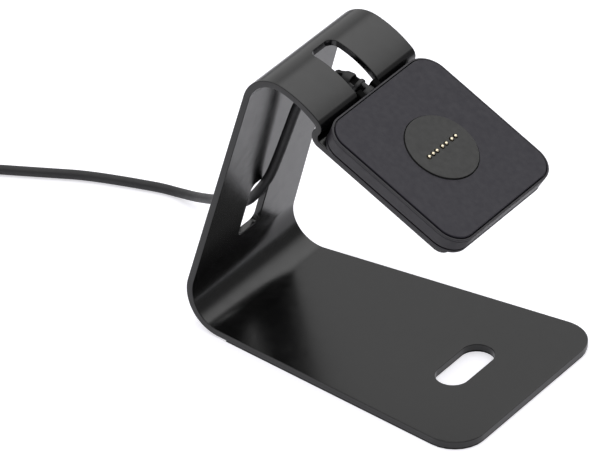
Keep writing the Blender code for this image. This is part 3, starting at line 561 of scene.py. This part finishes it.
def math_node(tree, operation, first, second):
    """Two values joined by a Math node."""
    node = tree.nodes.new("ShaderNodeMath")
    node.operation = operation
    tree.links.new(first, node.inputs[0])
    tree.links.new(second, node.inputs[1])
    return node.outputs["Value"]


def remap(tree, source, start, end, low=0.0, high=1.0, smooth=False):
    """Low where the source is at start, high where it is at end."""
    node = tree.nodes.new("ShaderNodeMapRange")
    if smooth:
        node.interpolation_type = "SMOOTHSTEP"
    set_input(node, "From Min", start)
    set_input(node, "From Max", end)
    set_input(node, "To Min", low)
    set_input(node, "To Max", high)
    tree.links.new(source, node.inputs["Value"])
    return node.outputs["Result"]


def tint(tree, share, first, second):
    """The first colour where the share is 0, the second where it is 1."""
    mix = tree.nodes.new("ShaderNodeMix")
    mix.data_type = "RGBA"
    set_input(mix, "A", (*first, 1))
    set_input(mix, "B", (*second, 1))
    tree.links.new(share, mix.inputs["Factor"])
    return mix.outputs["Result"]


def principled(name, colour, roughness, **more):
    """A Principled material, its tree and its shader."""
    made = bpy.data.materials.new(name)
    made.use_nodes = True
    shader = made.node_tree.nodes["Principled BSDF"]
    set_input(shader, "Base Color", (*colour, 1))
    set_input(shader, "Roughness", roughness)
    for key, value in more.items():
        set_input(shader, key.replace("_", " "), value)
    return made, made.node_tree, shader


def grain(tree, scale, detail=NOISE_DETAIL):
    """Noise in the object's own metres."""
    coords = tree.nodes.new("ShaderNodeTexCoord")
    noise = tree.nodes.new("ShaderNodeTexNoise")
    set_input(noise, "Scale", scale)
    set_input(noise, "Detail", detail)
    tree.links.new(coords.outputs["Object"], noise.inputs["Vector"])
    return noise.outputs["Fac"]


def drifting(tree, scale, low, high):
    """A value that drifts between two levels over the surface."""
    return remap(tree, grain(tree, scale), NOISE_LOW, NOISE_HIGH, low, high)


def bumped(tree, shader, source, strength, height):
    """Fine relief on the surface."""
    bump = tree.nodes.new("ShaderNodeBump")
    set_input(bump, "Strength", strength)
    set_input(bump, "Distance", height)
    tree.links.new(source, bump.inputs["Height"])
    tree.links.new(bump.outputs["Normal"], shader.inputs["Normal"])


def make_coat():
    """Satin black coat on the steel, with a slight orange peel."""
    made, tree, shader = principled("coat", COAT_LIGHT, COAT_SMOOTHEST, IOR=COAT_INDEX)
    roughness = drifting(tree, COAT_SMEARS, COAT_SMOOTHEST, COAT_ROUGHEST)
    tree.links.new(roughness, shader.inputs["Roughness"])
    colour = tint(tree, drifting(tree, COAT_CLOUDS, 0, 1), COAT_DARK, COAT_LIGHT)
    tree.links.new(colour, shader.inputs["Base Color"])
    bumped(tree, shader, grain(tree, COAT_PEEL, RELIEF_DETAIL), COAT_RELIEF, COAT_RELIEF_HEIGHT)
    return made


def make_moulding(name, dark, light, roughness, relief=0.25, texture=MOULDED_TEXTURE, shine=0.5):
    """Moulded plastic or rubber with an eroded, matt texture."""
    made, tree, shader = principled(name, light, roughness, IOR=MOULDED_INDEX, Specular_IOR_Level=shine)
    drift = drifting(tree, MOULDED_SMEARS, roughness - MOULDED_DRIFT, roughness + MOULDED_DRIFT)
    tree.links.new(drift, shader.inputs["Roughness"])
    colour = tint(tree, drifting(tree, MOULDED_CLOUDS, 0, 1), dark, light)
    tree.links.new(colour, shader.inputs["Base Color"])
    bumped(tree, shader, grain(tree, texture, RELIEF_DETAIL), relief, MOULDED_RELIEF_HEIGHT)
    return made


def make_metal(name, colour, roughness):
    """Plated or turned metal with fine marks."""
    made, tree, shader = principled(name, colour, roughness, Metallic=1)
    drift = drifting(tree, METAL_SMEARS, roughness - METAL_DRIFT, roughness + METAL_DRIFT)
    tree.links.new(drift, shader.inputs["Roughness"])
    bumped(tree, shader, grain(tree, METAL_MARKS), METAL_RELIEF, METAL_RELIEF_HEIGHT)
    return made


def make_looks():
    """Every material, by the record's slot names, and two more for the boot, one of them a near-black painted
    shade.
    """
    return {
        "black_coat": make_coat(),
        "black_moulding": make_moulding(
            "moulding", dark=(0.0222, 0.0202, 0.0256), light=(0.0262, 0.0242, 0.0296), roughness=0.48),
        "cover_moulding": make_moulding(
            "cover", dark=(0.0178, 0.0158, 0.025), light=(0.0204, 0.0182, 0.0276), roughness=0.55,
            relief=0.16),
        "disc_moulding": make_moulding(
            "disc", dark=(0.0258, 0.0258, 0.0252), light=(0.0295, 0.0295, 0.0288), roughness=0.5),
        "boot_rubber": make_moulding(
            "boot", dark=(0.016, 0.016, 0.0165), light=(0.021, 0.021, 0.0215), roughness=0.5,
            relief=0.3, texture=SOFT_TEXTURE),
        # Near black: painted shade inside the boot's slots and on the two blocks beside it
        "boot_painted_shade": make_moulding(
            "boot_painted_shade", dark=(0.001, 0.001, 0.001), light=(0.002, 0.002, 0.002), roughness=0.8,
            relief=0.3, texture=SOFT_TEXTURE, shine=0.1),
        "black_rubber": make_moulding(
            "rubber", dark=(0.01, 0.01, 0.01), light=(0.016, 0.016, 0.016), roughness=0.8,
            relief=0.5, texture=SOFT_TEXTURE),
        "cable_sleeve": make_moulding(
            "sleeve", dark=(0.0225, 0.0222, 0.0238), light=(0.0265, 0.0262, 0.0278), roughness=0.55,
            relief=0.08, texture=SLEEVE_TEXTURE),
        "white_plastic": make_moulding(
            "tongue", dark=(0.75, 0.75, 0.74), light=(0.8, 0.8, 0.79), roughness=0.45),
        "board": make_moulding(
            "board", dark=(0.008, 0.09, 0.035), light=(0.012, 0.12, 0.05), roughness=0.4,
            relief=0.4, texture=BOARD_TEXTURE),
        "gold_plate": make_metal("gold", colour=(1.0, 0.9, 0.68), roughness=0.36),
        "brass": make_metal("brass", colour=(0.7, 0.55, 0.3), roughness=0.35),
        "steel": make_metal("steel", colour=(0.6, 0.6, 0.62), roughness=0.3),
    }


def paint(obj, look):
    """Gives an object one material."""
    obj.data.materials.clear()
    obj.data.materials.append(look)


def shade(mesh):
    """Smooth shading between facets that turn only a little."""
    mesh.shade_smooth()
    mesh.set_sharp_from_angle(angle=SMOOTH_UP_TO)


def add_object(name, bm, look, parent=None):
    """Turns a bmesh into an object with its faces pointing out."""
    bmesh.ops.recalc_face_normals(bm, faces=bm.faces[:])
    mesh = bpy.data.meshes.new(name)
    bm.to_mesh(mesh)
    bm.free()
    shade(mesh)
    made = bpy.data.objects.new(name, mesh)
    bpy.context.collection.objects.link(made)
    made.parent = parent
    if look:
        mesh.materials.append(look)
    return made


def turned(name, profile, sides, look, parent, place=(0, 0, 0)):
    """A turned solid about the Z axis of its parent, at place."""
    made = add_object(name, loft(bmesh.new(), turned_rings(profile, sides)), look, parent)
    made.location = place
    return made


def applied(made):
    """The object's mesh with its modifiers applied."""
    bpy.context.view_layer.update()
    return bpy.data.meshes.new_from_object(made.evaluated_get(bpy.context.evaluated_depsgraph_get()))


def settle(made):
    """Applies the cuts and even shading, puts the mesh in the world frame and drops the cutters."""
    cutters = [modifier.object for modifier in made.modifiers]
    mesh = applied(made)
    mesh.transform(made.matrix_world)
    made.modifiers.clear()
    made.data = mesh
    made.parent = None
    made.matrix_world = Matrix.Identity(4)
    for cutter in cutters:
        bpy.data.objects.remove(cutter, do_unlink=True)
    shade(mesh)
    even = made.modifiers.new("even", "WEIGHTED_NORMAL")
    even.mode = "FACE_AREA"
    even.keep_sharp = True
    made.data = applied(made)
    made.modifiers.clear()
    return made


def stand_for(made, node):
    """The piece rides on the dock in place of its CAD node."""
    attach(made, "dock")
    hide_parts(node)
    return made


def make_stand(look):
    """The bent sheet, with rounder bends and edges than its CAD node."""
    starts, stations = profile_stations()
    outline = blank_outline(starts, stations[-1][0])
    sides = [[(s, y, z) for s, y in outline] for z in (-SHEET / 2, SHEET / 2)]
    blank = add_object("stand_sheet", loft(bmesh.new(), sides), look)
    cutters = [flat_cutter(name, points, SHEET) for name, points in blank_cutters(starts).items()]
    for cutter in cutters:
        boolean(blank, cutter)
    bpy.context.view_layer.update()
    cut = bmesh.new()
    cut.from_object(blank, bpy.context.evaluated_depsgraph_get())
    blank.modifiers.clear()
    for cutter in cutters:
        bpy.data.objects.remove(cutter, do_unlink=True)
    bmesh.ops.remove_doubles(cut, verts=cut.verts[:], dist=WELD)
    bmesh.ops.dissolve_limit(cut, angle_limit=FLAT_WITHIN, verts=cut.verts[:], edges=cut.edges[:])
    rim = [edge for edge in cut.edges if len(edge.link_faces) == 2 and edge.calc_face_angle() > EDGE_OVER
           and abs(edge.verts[0].co.z - edge.verts[1].co.z) < SHEET / 4]
    bmesh.ops.bevel(cut, geom=rim, offset=SHEET_EDGE, offset_type="OFFSET", segments=SHEET_EDGE_STEPS,
                    profile=0.5, affect="EDGES")
    for s, _, _, _ in stations[1:-1]:
        bmesh.ops.bisect_plane(cut, geom=cut.verts[:] + cut.edges[:] + cut.faces[:], dist=FOLD_SLACK,
                               plane_co=(s, 0, 0), plane_no=(1, 0, 0))
    bmesh.ops.triangulate(cut, faces=cut.faces[:])
    for vert in cut.verts:
        vert.co = bend_point(stations, vert.co.x, vert.co.y, vert.co.z)
    bmesh.ops.recalc_face_normals(cut, faces=cut.faces[:])
    cut.to_mesh(blank.data)
    cut.free()
    return stand_for(settle(blank), "stand")


def housing_profile():
    """The tray's section, up its outside and down into it, as (inset, height) pairs."""
    inner = RIM_LAND + PAD_WALL
    seat_top = COVER_BASE - SEAT
    gap_top = SEAT + LIP + LIP_GAP
    profile = [(PAD_DRAFT + LIP_EDGE, SEAT), (PAD_DRAFT, SEAT + LIP_EDGE), (PAD_DRAFT, SEAT + LIP),
               (PAD_DRAFT + LIP_DEPTH, SEAT + LIP), (PAD_DRAFT + LIP_DEPTH, gap_top)]
    profile += [(PAD_DRAFT + LIP_EDGE * (1 - math.sin(a)), gap_top + LIP_EDGE * (1 - math.cos(a)))
                for a in EDGE_ANGLES]
    low = profile[-1][1]
    high = RIM_TOP - RIM_EDGE
    for share, deep in ((1, 0), (1 - LINE_SLOPE, LINE_DEPTH), (LINE_SLOPE, LINE_DEPTH), (0, 0)):
        z = RIM_TOP - (LINE_DROP + LINE_WIDTH * share)
        profile.append((PAD_DRAFT * (high - z) / (high - low) + deep, z))
    profile += [(RIM_EDGE * (1 - math.cos(a)), high + RIM_EDGE * math.sin(a)) for a in EDGE_ANGLES]
    profile += [(RIM_EDGE + RIM_LAND, RIM_TOP), (RIM_EDGE + RIM_LAND, seat_top), (inner, seat_top),
                (inner, HOUSING_FLOOR_TOP)]
    return profile


def make_housing(frame, look):
    """The pad's tray, with the ribs under the board, the screws' holes and the cable's hole."""
    rings = plate_rings(PAD_LENGTH, PAD_WIDTH, PAD_CORNER, housing_profile())
    tray = add_object("housing_skin", loft(bmesh.new(), rings), look, frame)
    rest_top = BOARD_TOP - BOARD - SEAT
    for i, side in enumerate((-1, 1)):
        outline = rounded_rectangle(REST_LENGTH, REST_WIDTH, REST_CORNER, REST_CORNER_STEPS)
        rings = [[(x, y + side * REST_SPREAD, z) for x, y in outline]
                 for z in (HOUSING_FLOOR_TOP - PAD_FLOOR / 2, rest_top)]
        boolean(tray, add_object(f"join_rest_{i + 1}", loft(bmesh.new(), rings), None, frame), "UNION")
    for i, (along, across) in enumerate(screw_places()):
        radius = SCREW_RADIUS + SCREW_HOLE_GAP
        through = [(radius, -PAD_FLOOR), (radius, HOUSING_FLOOR_TOP + PAD_FLOOR)]
        hole = turned(f"cut_housing_{i + 1}", through, PIN_SIDES, None, frame, (along, across, 0))
        boolean(tray, hole)
    radius = BOOT_NECK_RADIUS + SEAT
    through = [(radius, -PAD_WALL * 2), (radius, PAD_WALL * 2)]
    hole = turned("cut_boot", through, SCREW_SIDES, None, frame,
                  (-PAD_LENGTH / 2 + PAD_WALL / 2, 0, BOOT_RISE))
    hole.rotation_euler = (0, math.pi / 2, 0)
    boolean(tray, hole)
    return stand_for(settle(tray), "pad_housing")


def make_cover(frame, look):
    """The raised cover plate, with its bosses and the round hole for the contact plate."""
    inset = RIM_EDGE + RIM_LAND + COVER_GROOVE
    profile = [(inset, COVER_BASE)]
    profile += [(inset + COVER_EDGE * (1 - math.cos(a)), COVER_TOP - COVER_EDGE * (1 - math.sin(a)))
                for a in EDGE_ANGLES]
    rings = plate_rings(PAD_LENGTH, PAD_WIDTH, PAD_CORNER, profile)
    cover = add_object("cover_skin", loft(bmesh.new(), rings), look, frame)
    radius = DISC_RADIUS + DISC_RING
    through = [(radius, COVER_BASE - COVER), (radius, COVER_TOP + COVER)]
    boolean(cover, turned("cut_disc", through, DISC_SIDES, None, frame))
    for i, (along, across) in enumerate(screw_places()):
        outer = SCREW_RADIUS + BOSS_WALL
        solid = [(outer, BOSS_BASE), (outer, COVER_BASE + COVER / 2)]
        boss = turned(f"join_boss_{i + 1}", solid, SCREW_SIDES, None, frame, (along, across, 0))
        boolean(cover, boss, "UNION")
        inner = SCREW_RADIUS + THREAD_GAP
        bore = [(inner, 0), (inner, BOSS_BASE + SCREW_BITE + SEAT)]
        hole = turned(f"cut_boss_{i + 1}", bore, PIN_SIDES, None, frame, (along, across, 0))
        boolean(cover, hole)
    return stand_for(settle(cover), "pad_cover")


def make_disc(frame, look):
    """The round contact plate, with its rounded edge, flange and pin holes."""
    flange = DISC_RADIUS + FLANGE
    profile = [(flange, DISC_BASE), (flange, FLANGE_TOP), (DISC_RADIUS, FLANGE_TOP)]
    profile += [(DISC_RADIUS - DISC_EDGE * (1 - math.cos(a)), DISC_TOP - DISC_EDGE * (1 - math.sin(a)))
                for a in EDGE_ANGLES]
    disc = turned("disc_skin", profile, DISC_SIDES, look, frame)
    places = pin_places()
    half = BARREL_RADIUS + POCKET_GAP
    outline = rounded_rectangle(2 * half, places[-1] - places[0] + 2 * half, half - ROUND_SLACK)
    rings = [[(x, y, z) for x, y in outline] for z in (DISC_BASE - SEAT, DISC_TOP - DISC_SKIN)]
    boolean(disc, add_object("cut_pocket", loft(bmesh.new(), rings), None, frame))
    for i, across in enumerate(places):
        radius = PIN_RADIUS + PIN_RING
        through = [(radius, DISC_TOP - 2 * DISC_SKIN), (radius, DISC_TOP + DISC_SKIN)]
        hole = turned(f"cut_pin_{i + 1}", through, PIN_SIDES, None, frame, (0, across, 0))
        boolean(disc, hole)
    return stand_for(settle(disc), "contact_disc")


def boot_rings(points, radii, flats):
    """Rings across a route, each a circle cut to a spine between two slots where flats says so."""
    rings = []
    for i, middle in enumerate(points):
        before, after = points[max(i - 1, 0)], points[min(i + 1, len(points) - 1)]
        along = (after - before).normalized()
        side = Vector((0, 1, 0))
        up = along.cross(side).normalized()
        ring = []
        for k in range(BOOT_SIDES):
            angle = 2 * math.pi * (k + 0.5) / BOOT_SIDES
            a, b = radii[i] * math.cos(angle), radii[i] * math.sin(angle)
            if flats[i] == "side":
                a = max(-BOOT_SPINE, min(BOOT_SPINE, a))
            if flats[i] == "up":
                b = max(-BOOT_SPINE, min(BOOT_SPINE, b))
            ring.append(middle + side * a + up * b)
        rings.append(ring)
    return rings


def boot_stations(total):
    """The boot's rings, as (distance from the wall, side that a slot cuts, how far the radius drops)."""
    stations = [(0, None, 0)]
    for k, low in enumerate(BOOT_SLOT_STARTS):
        high = low + BOOT_SLOT
        way = ("side", "up")[k % 2]
        stations += [(low - BOOT_SOFT, None, 0), (low, None, BOOT_SOFT),
                     (low + BOOT_SLOT_DRAFT, way, BOOT_SOFT), (high, way, BOOT_SOFT),
                     (high + BOOT_SLOT_DRAFT, None, BOOT_SOFT),
                     (high + BOOT_SLOT_DRAFT + BOOT_SOFT, None, 0)]
    stations += [(total - BOOT_TIP_EDGE, None, 0), (total - BOOT_TIP_EDGE / 3, None, BOOT_TIP_STEP / 3),
                 (total, None, BOOT_TIP_STEP)]
    return stations


def route_lengths(route):
    """How far along a route each of its points lies."""
    lengths = [0.0]
    for a, b in zip(route[:-1], route[1:]):
        lengths.append(lengths[-1] + (b - a).length)
    return lengths


def point_along(route, lengths, distance):
    """The point of a route at a distance from its start."""
    i = 0
    while i < len(lengths) - 2 and lengths[i + 1] < distance:
        i += 1
    return route[i].lerp(route[i + 1], (distance - lengths[i]) / (lengths[i + 1] - lengths[i]))


def shade_block_rings(start, turn, side):
    """Rings of one dark block of painted shade, from the pad's wall out."""
    middle = SHADE_BLOCK_EDGE_MIDDLE * BOOT_SOFT
    outline = rounded_rectangle(SHADE_BLOCK_HEIGHT, SHADE_BLOCK_WIDTH, SHADE_BLOCK_CORNER, SHADE_BLOCK_CORNER_STEPS)
    rings = []
    for depth, inset in ((0, 0), (SHADE_BLOCK - BOOT_SOFT, 0), (SHADE_BLOCK - middle, middle), (SHADE_BLOCK, BOOT_SOFT)):
        narrower = 1 - 2 * inset / SHADE_BLOCK_WIDTH
        lower = 1 - 2 * inset / SHADE_BLOCK_HEIGHT
        rings.append([start + turn @ Vector((-depth, side * SHADE_BLOCK_SPREAD + y * narrower, z * lower + SHADE_BLOCK_LIFT))
                      for z, y in outline])
    return rings


def make_boot(frame, look, painted_shade_look):
    """The strain relief: a slotted, tapered sleeve with painted shade inside its slots, between two dark
    blocks of painted shade on the pad's wall.
    """
    turn = Matrix.Rotation(PANEL_TILT, 3, "Y")
    start = frame.location + turn @ Vector((-PAD_LENGTH / 2 - SEAT, 0, BOOT_RISE))
    out = turn @ Vector((-1, 0, 0))
    seat = RIM_LAND + PAD_WALL + 2 * SEAT
    route = smooth_route([start / MM, (start + out * BOOT_STRAIGHT) / MM, *BOOT_ROUTE])
    lengths = route_lengths(route)
    total = lengths[-1]
    points = [start - out * (seat + BOOT_COLLAR), start - out * seat, start - out * (seat - SHOULDER),
              start - out * SHOULDER]
    radii = [BOOT_COLLAR_RADIUS, BOOT_COLLAR_RADIUS, BOOT_NECK_RADIUS, BOOT_NECK_RADIUS]
    flats = [None] * len(points)
    for distance, flat, drop in boot_stations(total):
        points.append(point_along(route, lengths, distance))
        radii.append(BOOT_RADIUS + (BOOT_TIP_RADIUS - BOOT_RADIUS) * distance / total - drop)
        flats.append(flat)
    bm = loft(bmesh.new(), boot_rings(points, radii, flats))
    # Painted shade: faces near the boot's middle line, as inside its slots, get the near-black look
    for face in bm.faces:
        middle = face.calc_center_median()
        if min((middle - spot).length for spot in route) < BOOT_PAINTED_SHADE_WITHIN:
            face.material_index = BOOT_PAINTED_SHADE
    sleeve_faces = len(bm.faces)
    # The two blocks beside the boot are all painted shade, in the near-black look
    for side in (-1, 1):
        loft(bm, shade_block_rings(start, turn, side))
    for face in list(bm.faces)[sleeve_faces:]:
        face.material_index = BOOT_PAINTED_SHADE
    boot = add_object("boot_skin", bm, look)
    boot.data.materials.append(painted_shade_look)
    return stand_for(settle(boot), "strain_relief")


def make_springs(nodes):
    """A piece for each contact's spring, with a mesh of its own, in place of its CAD node."""
    axis = Matrix.Rotation(PANEL_TILT, 3, "Y") @ Vector((0, 0, 1))
    for i in range(sum(PIN_COUNTS)):
        name = f"pin_spring_{i + 1}"
        spring = bpy.data.objects.new(f"spring_skin_{i + 1}", nodes[name].data.copy())
        bpy.context.collection.objects.link(spring)
        stand_for(spring, name)
        lowest = min((v.co for v in spring.data.vertices), key=axis.dot).copy()
        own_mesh(spring)


def make_cable(look):
    """The cable as one curve: its route, its stored turns and its end at the plug."""
    points = smooth_route(CORD_ROUTE) + coil_points() + smooth_route(TAIL_ROUTE)
    curve = bpy.data.curves.new("cord", "CURVE")
    curve.dimensions = "3D"
    curve.bevel_depth = CORD_RADIUS
    curve.bevel_resolution = CORD_FACETS
    curve.use_fill_caps = True
    spline = curve.splines.new("POLY")
    spline.points.add(len(points) - 1)
    for place, point in zip(spline.points, points):
        place.co = (*point, 1)
    made = bpy.data.objects.new("cord", curve)
    bpy.context.collection.objects.link(made)
    curve.materials.append(look)
    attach(made, "dock")
    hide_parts("cable", "cable_coil", "cable_tail")
    return made


def make_floor():
    """Pale floor that keeps the object's shadow; away from the object it is plain white to the camera."""
    bpy.ops.mesh.primitive_plane_add(size=FLOOR_SIZE)
    floor = bpy.context.object
    floor.name = "floor"
    floor.location.z = -FLOOR_DROP
    look, tree, shader = principled("floor", FLOOR_COLOUR[0], 1.0, Specular_IOR_Level=0.0)
    coords = tree.nodes.new("ShaderNodeTexCoord")
    reach = tree.nodes.new("ShaderNodeVectorMath")
    reach.operation = "LENGTH"
    tree.links.new(coords.outputs["Object"], reach.inputs[0])
    away = remap(tree, reach.outputs["Value"], FLOOR_NEAR, FLOOR_FAR, smooth=True)
    tree.links.new(tint(tree, away, *FLOOR_COLOUR), shader.inputs["Base Color"])
    path = tree.nodes.new("ShaderNodeLightPath")
    seen = math_node(tree, "MULTIPLY", path.outputs["Is Camera Ray"], remap(tree, away, 0, 1, *FLOOR_GLOW))
    mirrored = math_node(tree, "MULTIPLY", path.outputs["Is Glossy Ray"],
                         remap(tree, away, 0, 1, *FLOOR_GLOW_MIRRORED))
    glow = tree.nodes.new("ShaderNodeEmission")
    set_input(glow, "Color", (*FLOOR_GLOW_COLOUR, 1))
    tree.links.new(math_node(tree, "MAXIMUM", seen, mirrored), glow.inputs["Strength"])
    add = tree.nodes.new("ShaderNodeAddShader")
    tree.links.new(shader.outputs[0], add.inputs[0])
    tree.links.new(glow.outputs[0], add.inputs[1])
    tree.links.new(add.outputs[0], tree.nodes["Material Output"].inputs["Surface"])
    floor.data.materials.append(look)


def make_world():
    """Studio light: dim near the horizon, brighter overhead, with one wide soft box behind the dock."""
    world = bpy.data.worlds.new("world")
    bpy.context.scene.world = world
    world.use_nodes = True
    tree = world.node_tree
    back = tree.nodes["Background"]
    coords = tree.nodes.new("ShaderNodeTexCoord")
    split = tree.nodes.new("ShaderNodeSeparateXYZ")
    tree.links.new(coords.outputs["Generated"], split.inputs[0])
    sky = tree.nodes.new("ShaderNodeValToRGB")
    stops = sky.color_ramp.elements
    for place, level in SKY[1:-1]:
        stops.new(place)
    for stop, (place, level) in zip(stops, SKY):
        stop.position = place
        stop.color = (level, level, level, 1)
    tree.links.new(split.outputs["Z"], sky.inputs["Fac"])
    toward_box = tree.nodes.new("ShaderNodeVectorMath")
    toward_box.operation = "DOT_PRODUCT"
    toward_box.inputs[1].default_value = Vector(SOFT_BOX).normalized()
    tree.links.new(coords.outputs["Generated"], toward_box.inputs[0])
    box = remap(tree, toward_box.outputs["Value"], math.cos(SOFT_BOX_OUTER), math.cos(SOFT_BOX_INNER),
                high=SOFT_BOX_LEVEL, smooth=True)
    backdrop = remap(tree, split.outputs["X"], BACKDROP_FROM, BACKDROP_TO, high=BACKDROP_LEVEL, smooth=True)
    level = math_node(tree, "ADD", sky.outputs["Color"], box)
    level = math_node(tree, "ADD", level, backdrop)
    path = tree.nodes.new("ShaderNodeLightPath")
    white = math_node(tree, "MAXIMUM", level, path.outputs["Is Camera Ray"])
    set_input(back, "Color", (1, 1, 1, 1))
    tree.links.new(white, back.inputs["Strength"])


def make_lamp():
    """One large, weak lamp overhead."""
    data = bpy.data.lights.new("overhead", "AREA")
    data.size = LAMP_SIZE
    data.energy = LAMP_POWER
    made = bpy.data.objects.new("overhead", data)
    bpy.context.collection.objects.link(made)
    made.location = LAMP_PLACE
    made.rotation_euler = (Vector(LAMP_PLACE) - Vector(LAMP_TARGET)).to_track_quat("Z", "Y").to_euler()


def make_camera():
    """The camera at the photograph's angle."""
    data = bpy.data.cameras.new("camera")
    data.lens = CAMERA_LENS
    data.sensor_width = CAMERA_SENSOR
    data.clip_end = CAMERA_REACH
    camera = bpy.data.objects.new("camera", data)
    bpy.context.collection.objects.link(camera)
    camera.location = CAMERA_PLACE
    camera.rotation_euler = (CAMERA_TILT, 0, CAMERA_TURN)
    bpy.context.scene.camera = camera


def main():
    """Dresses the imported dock."""
    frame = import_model()
    bpy.context.scene.view_settings.view_transform = "Standard"
    make_camera()
    make_floor()
    make_world()
    make_lamp()
    looks = make_looks()
    slots = {part["node"]: part["material_slot"] for part in frame["record"]["subparts"]}
    for name, node in frame["nodes"].items():
        paint(node, looks[slots[name]])
    place = pad_frame()
    make_stand(looks["black_coat"])
    make_housing(place, looks["black_moulding"])
    make_cover(place, looks["cover_moulding"])
    make_disc(place, looks["disc_moulding"])
    make_boot(place, looks["boot_rubber"], looks["boot_painted_shade"])
    bpy.data.objects.remove(place)
    make_springs(frame["nodes"])
    make_cable(looks["cable_sleeve"])


main()
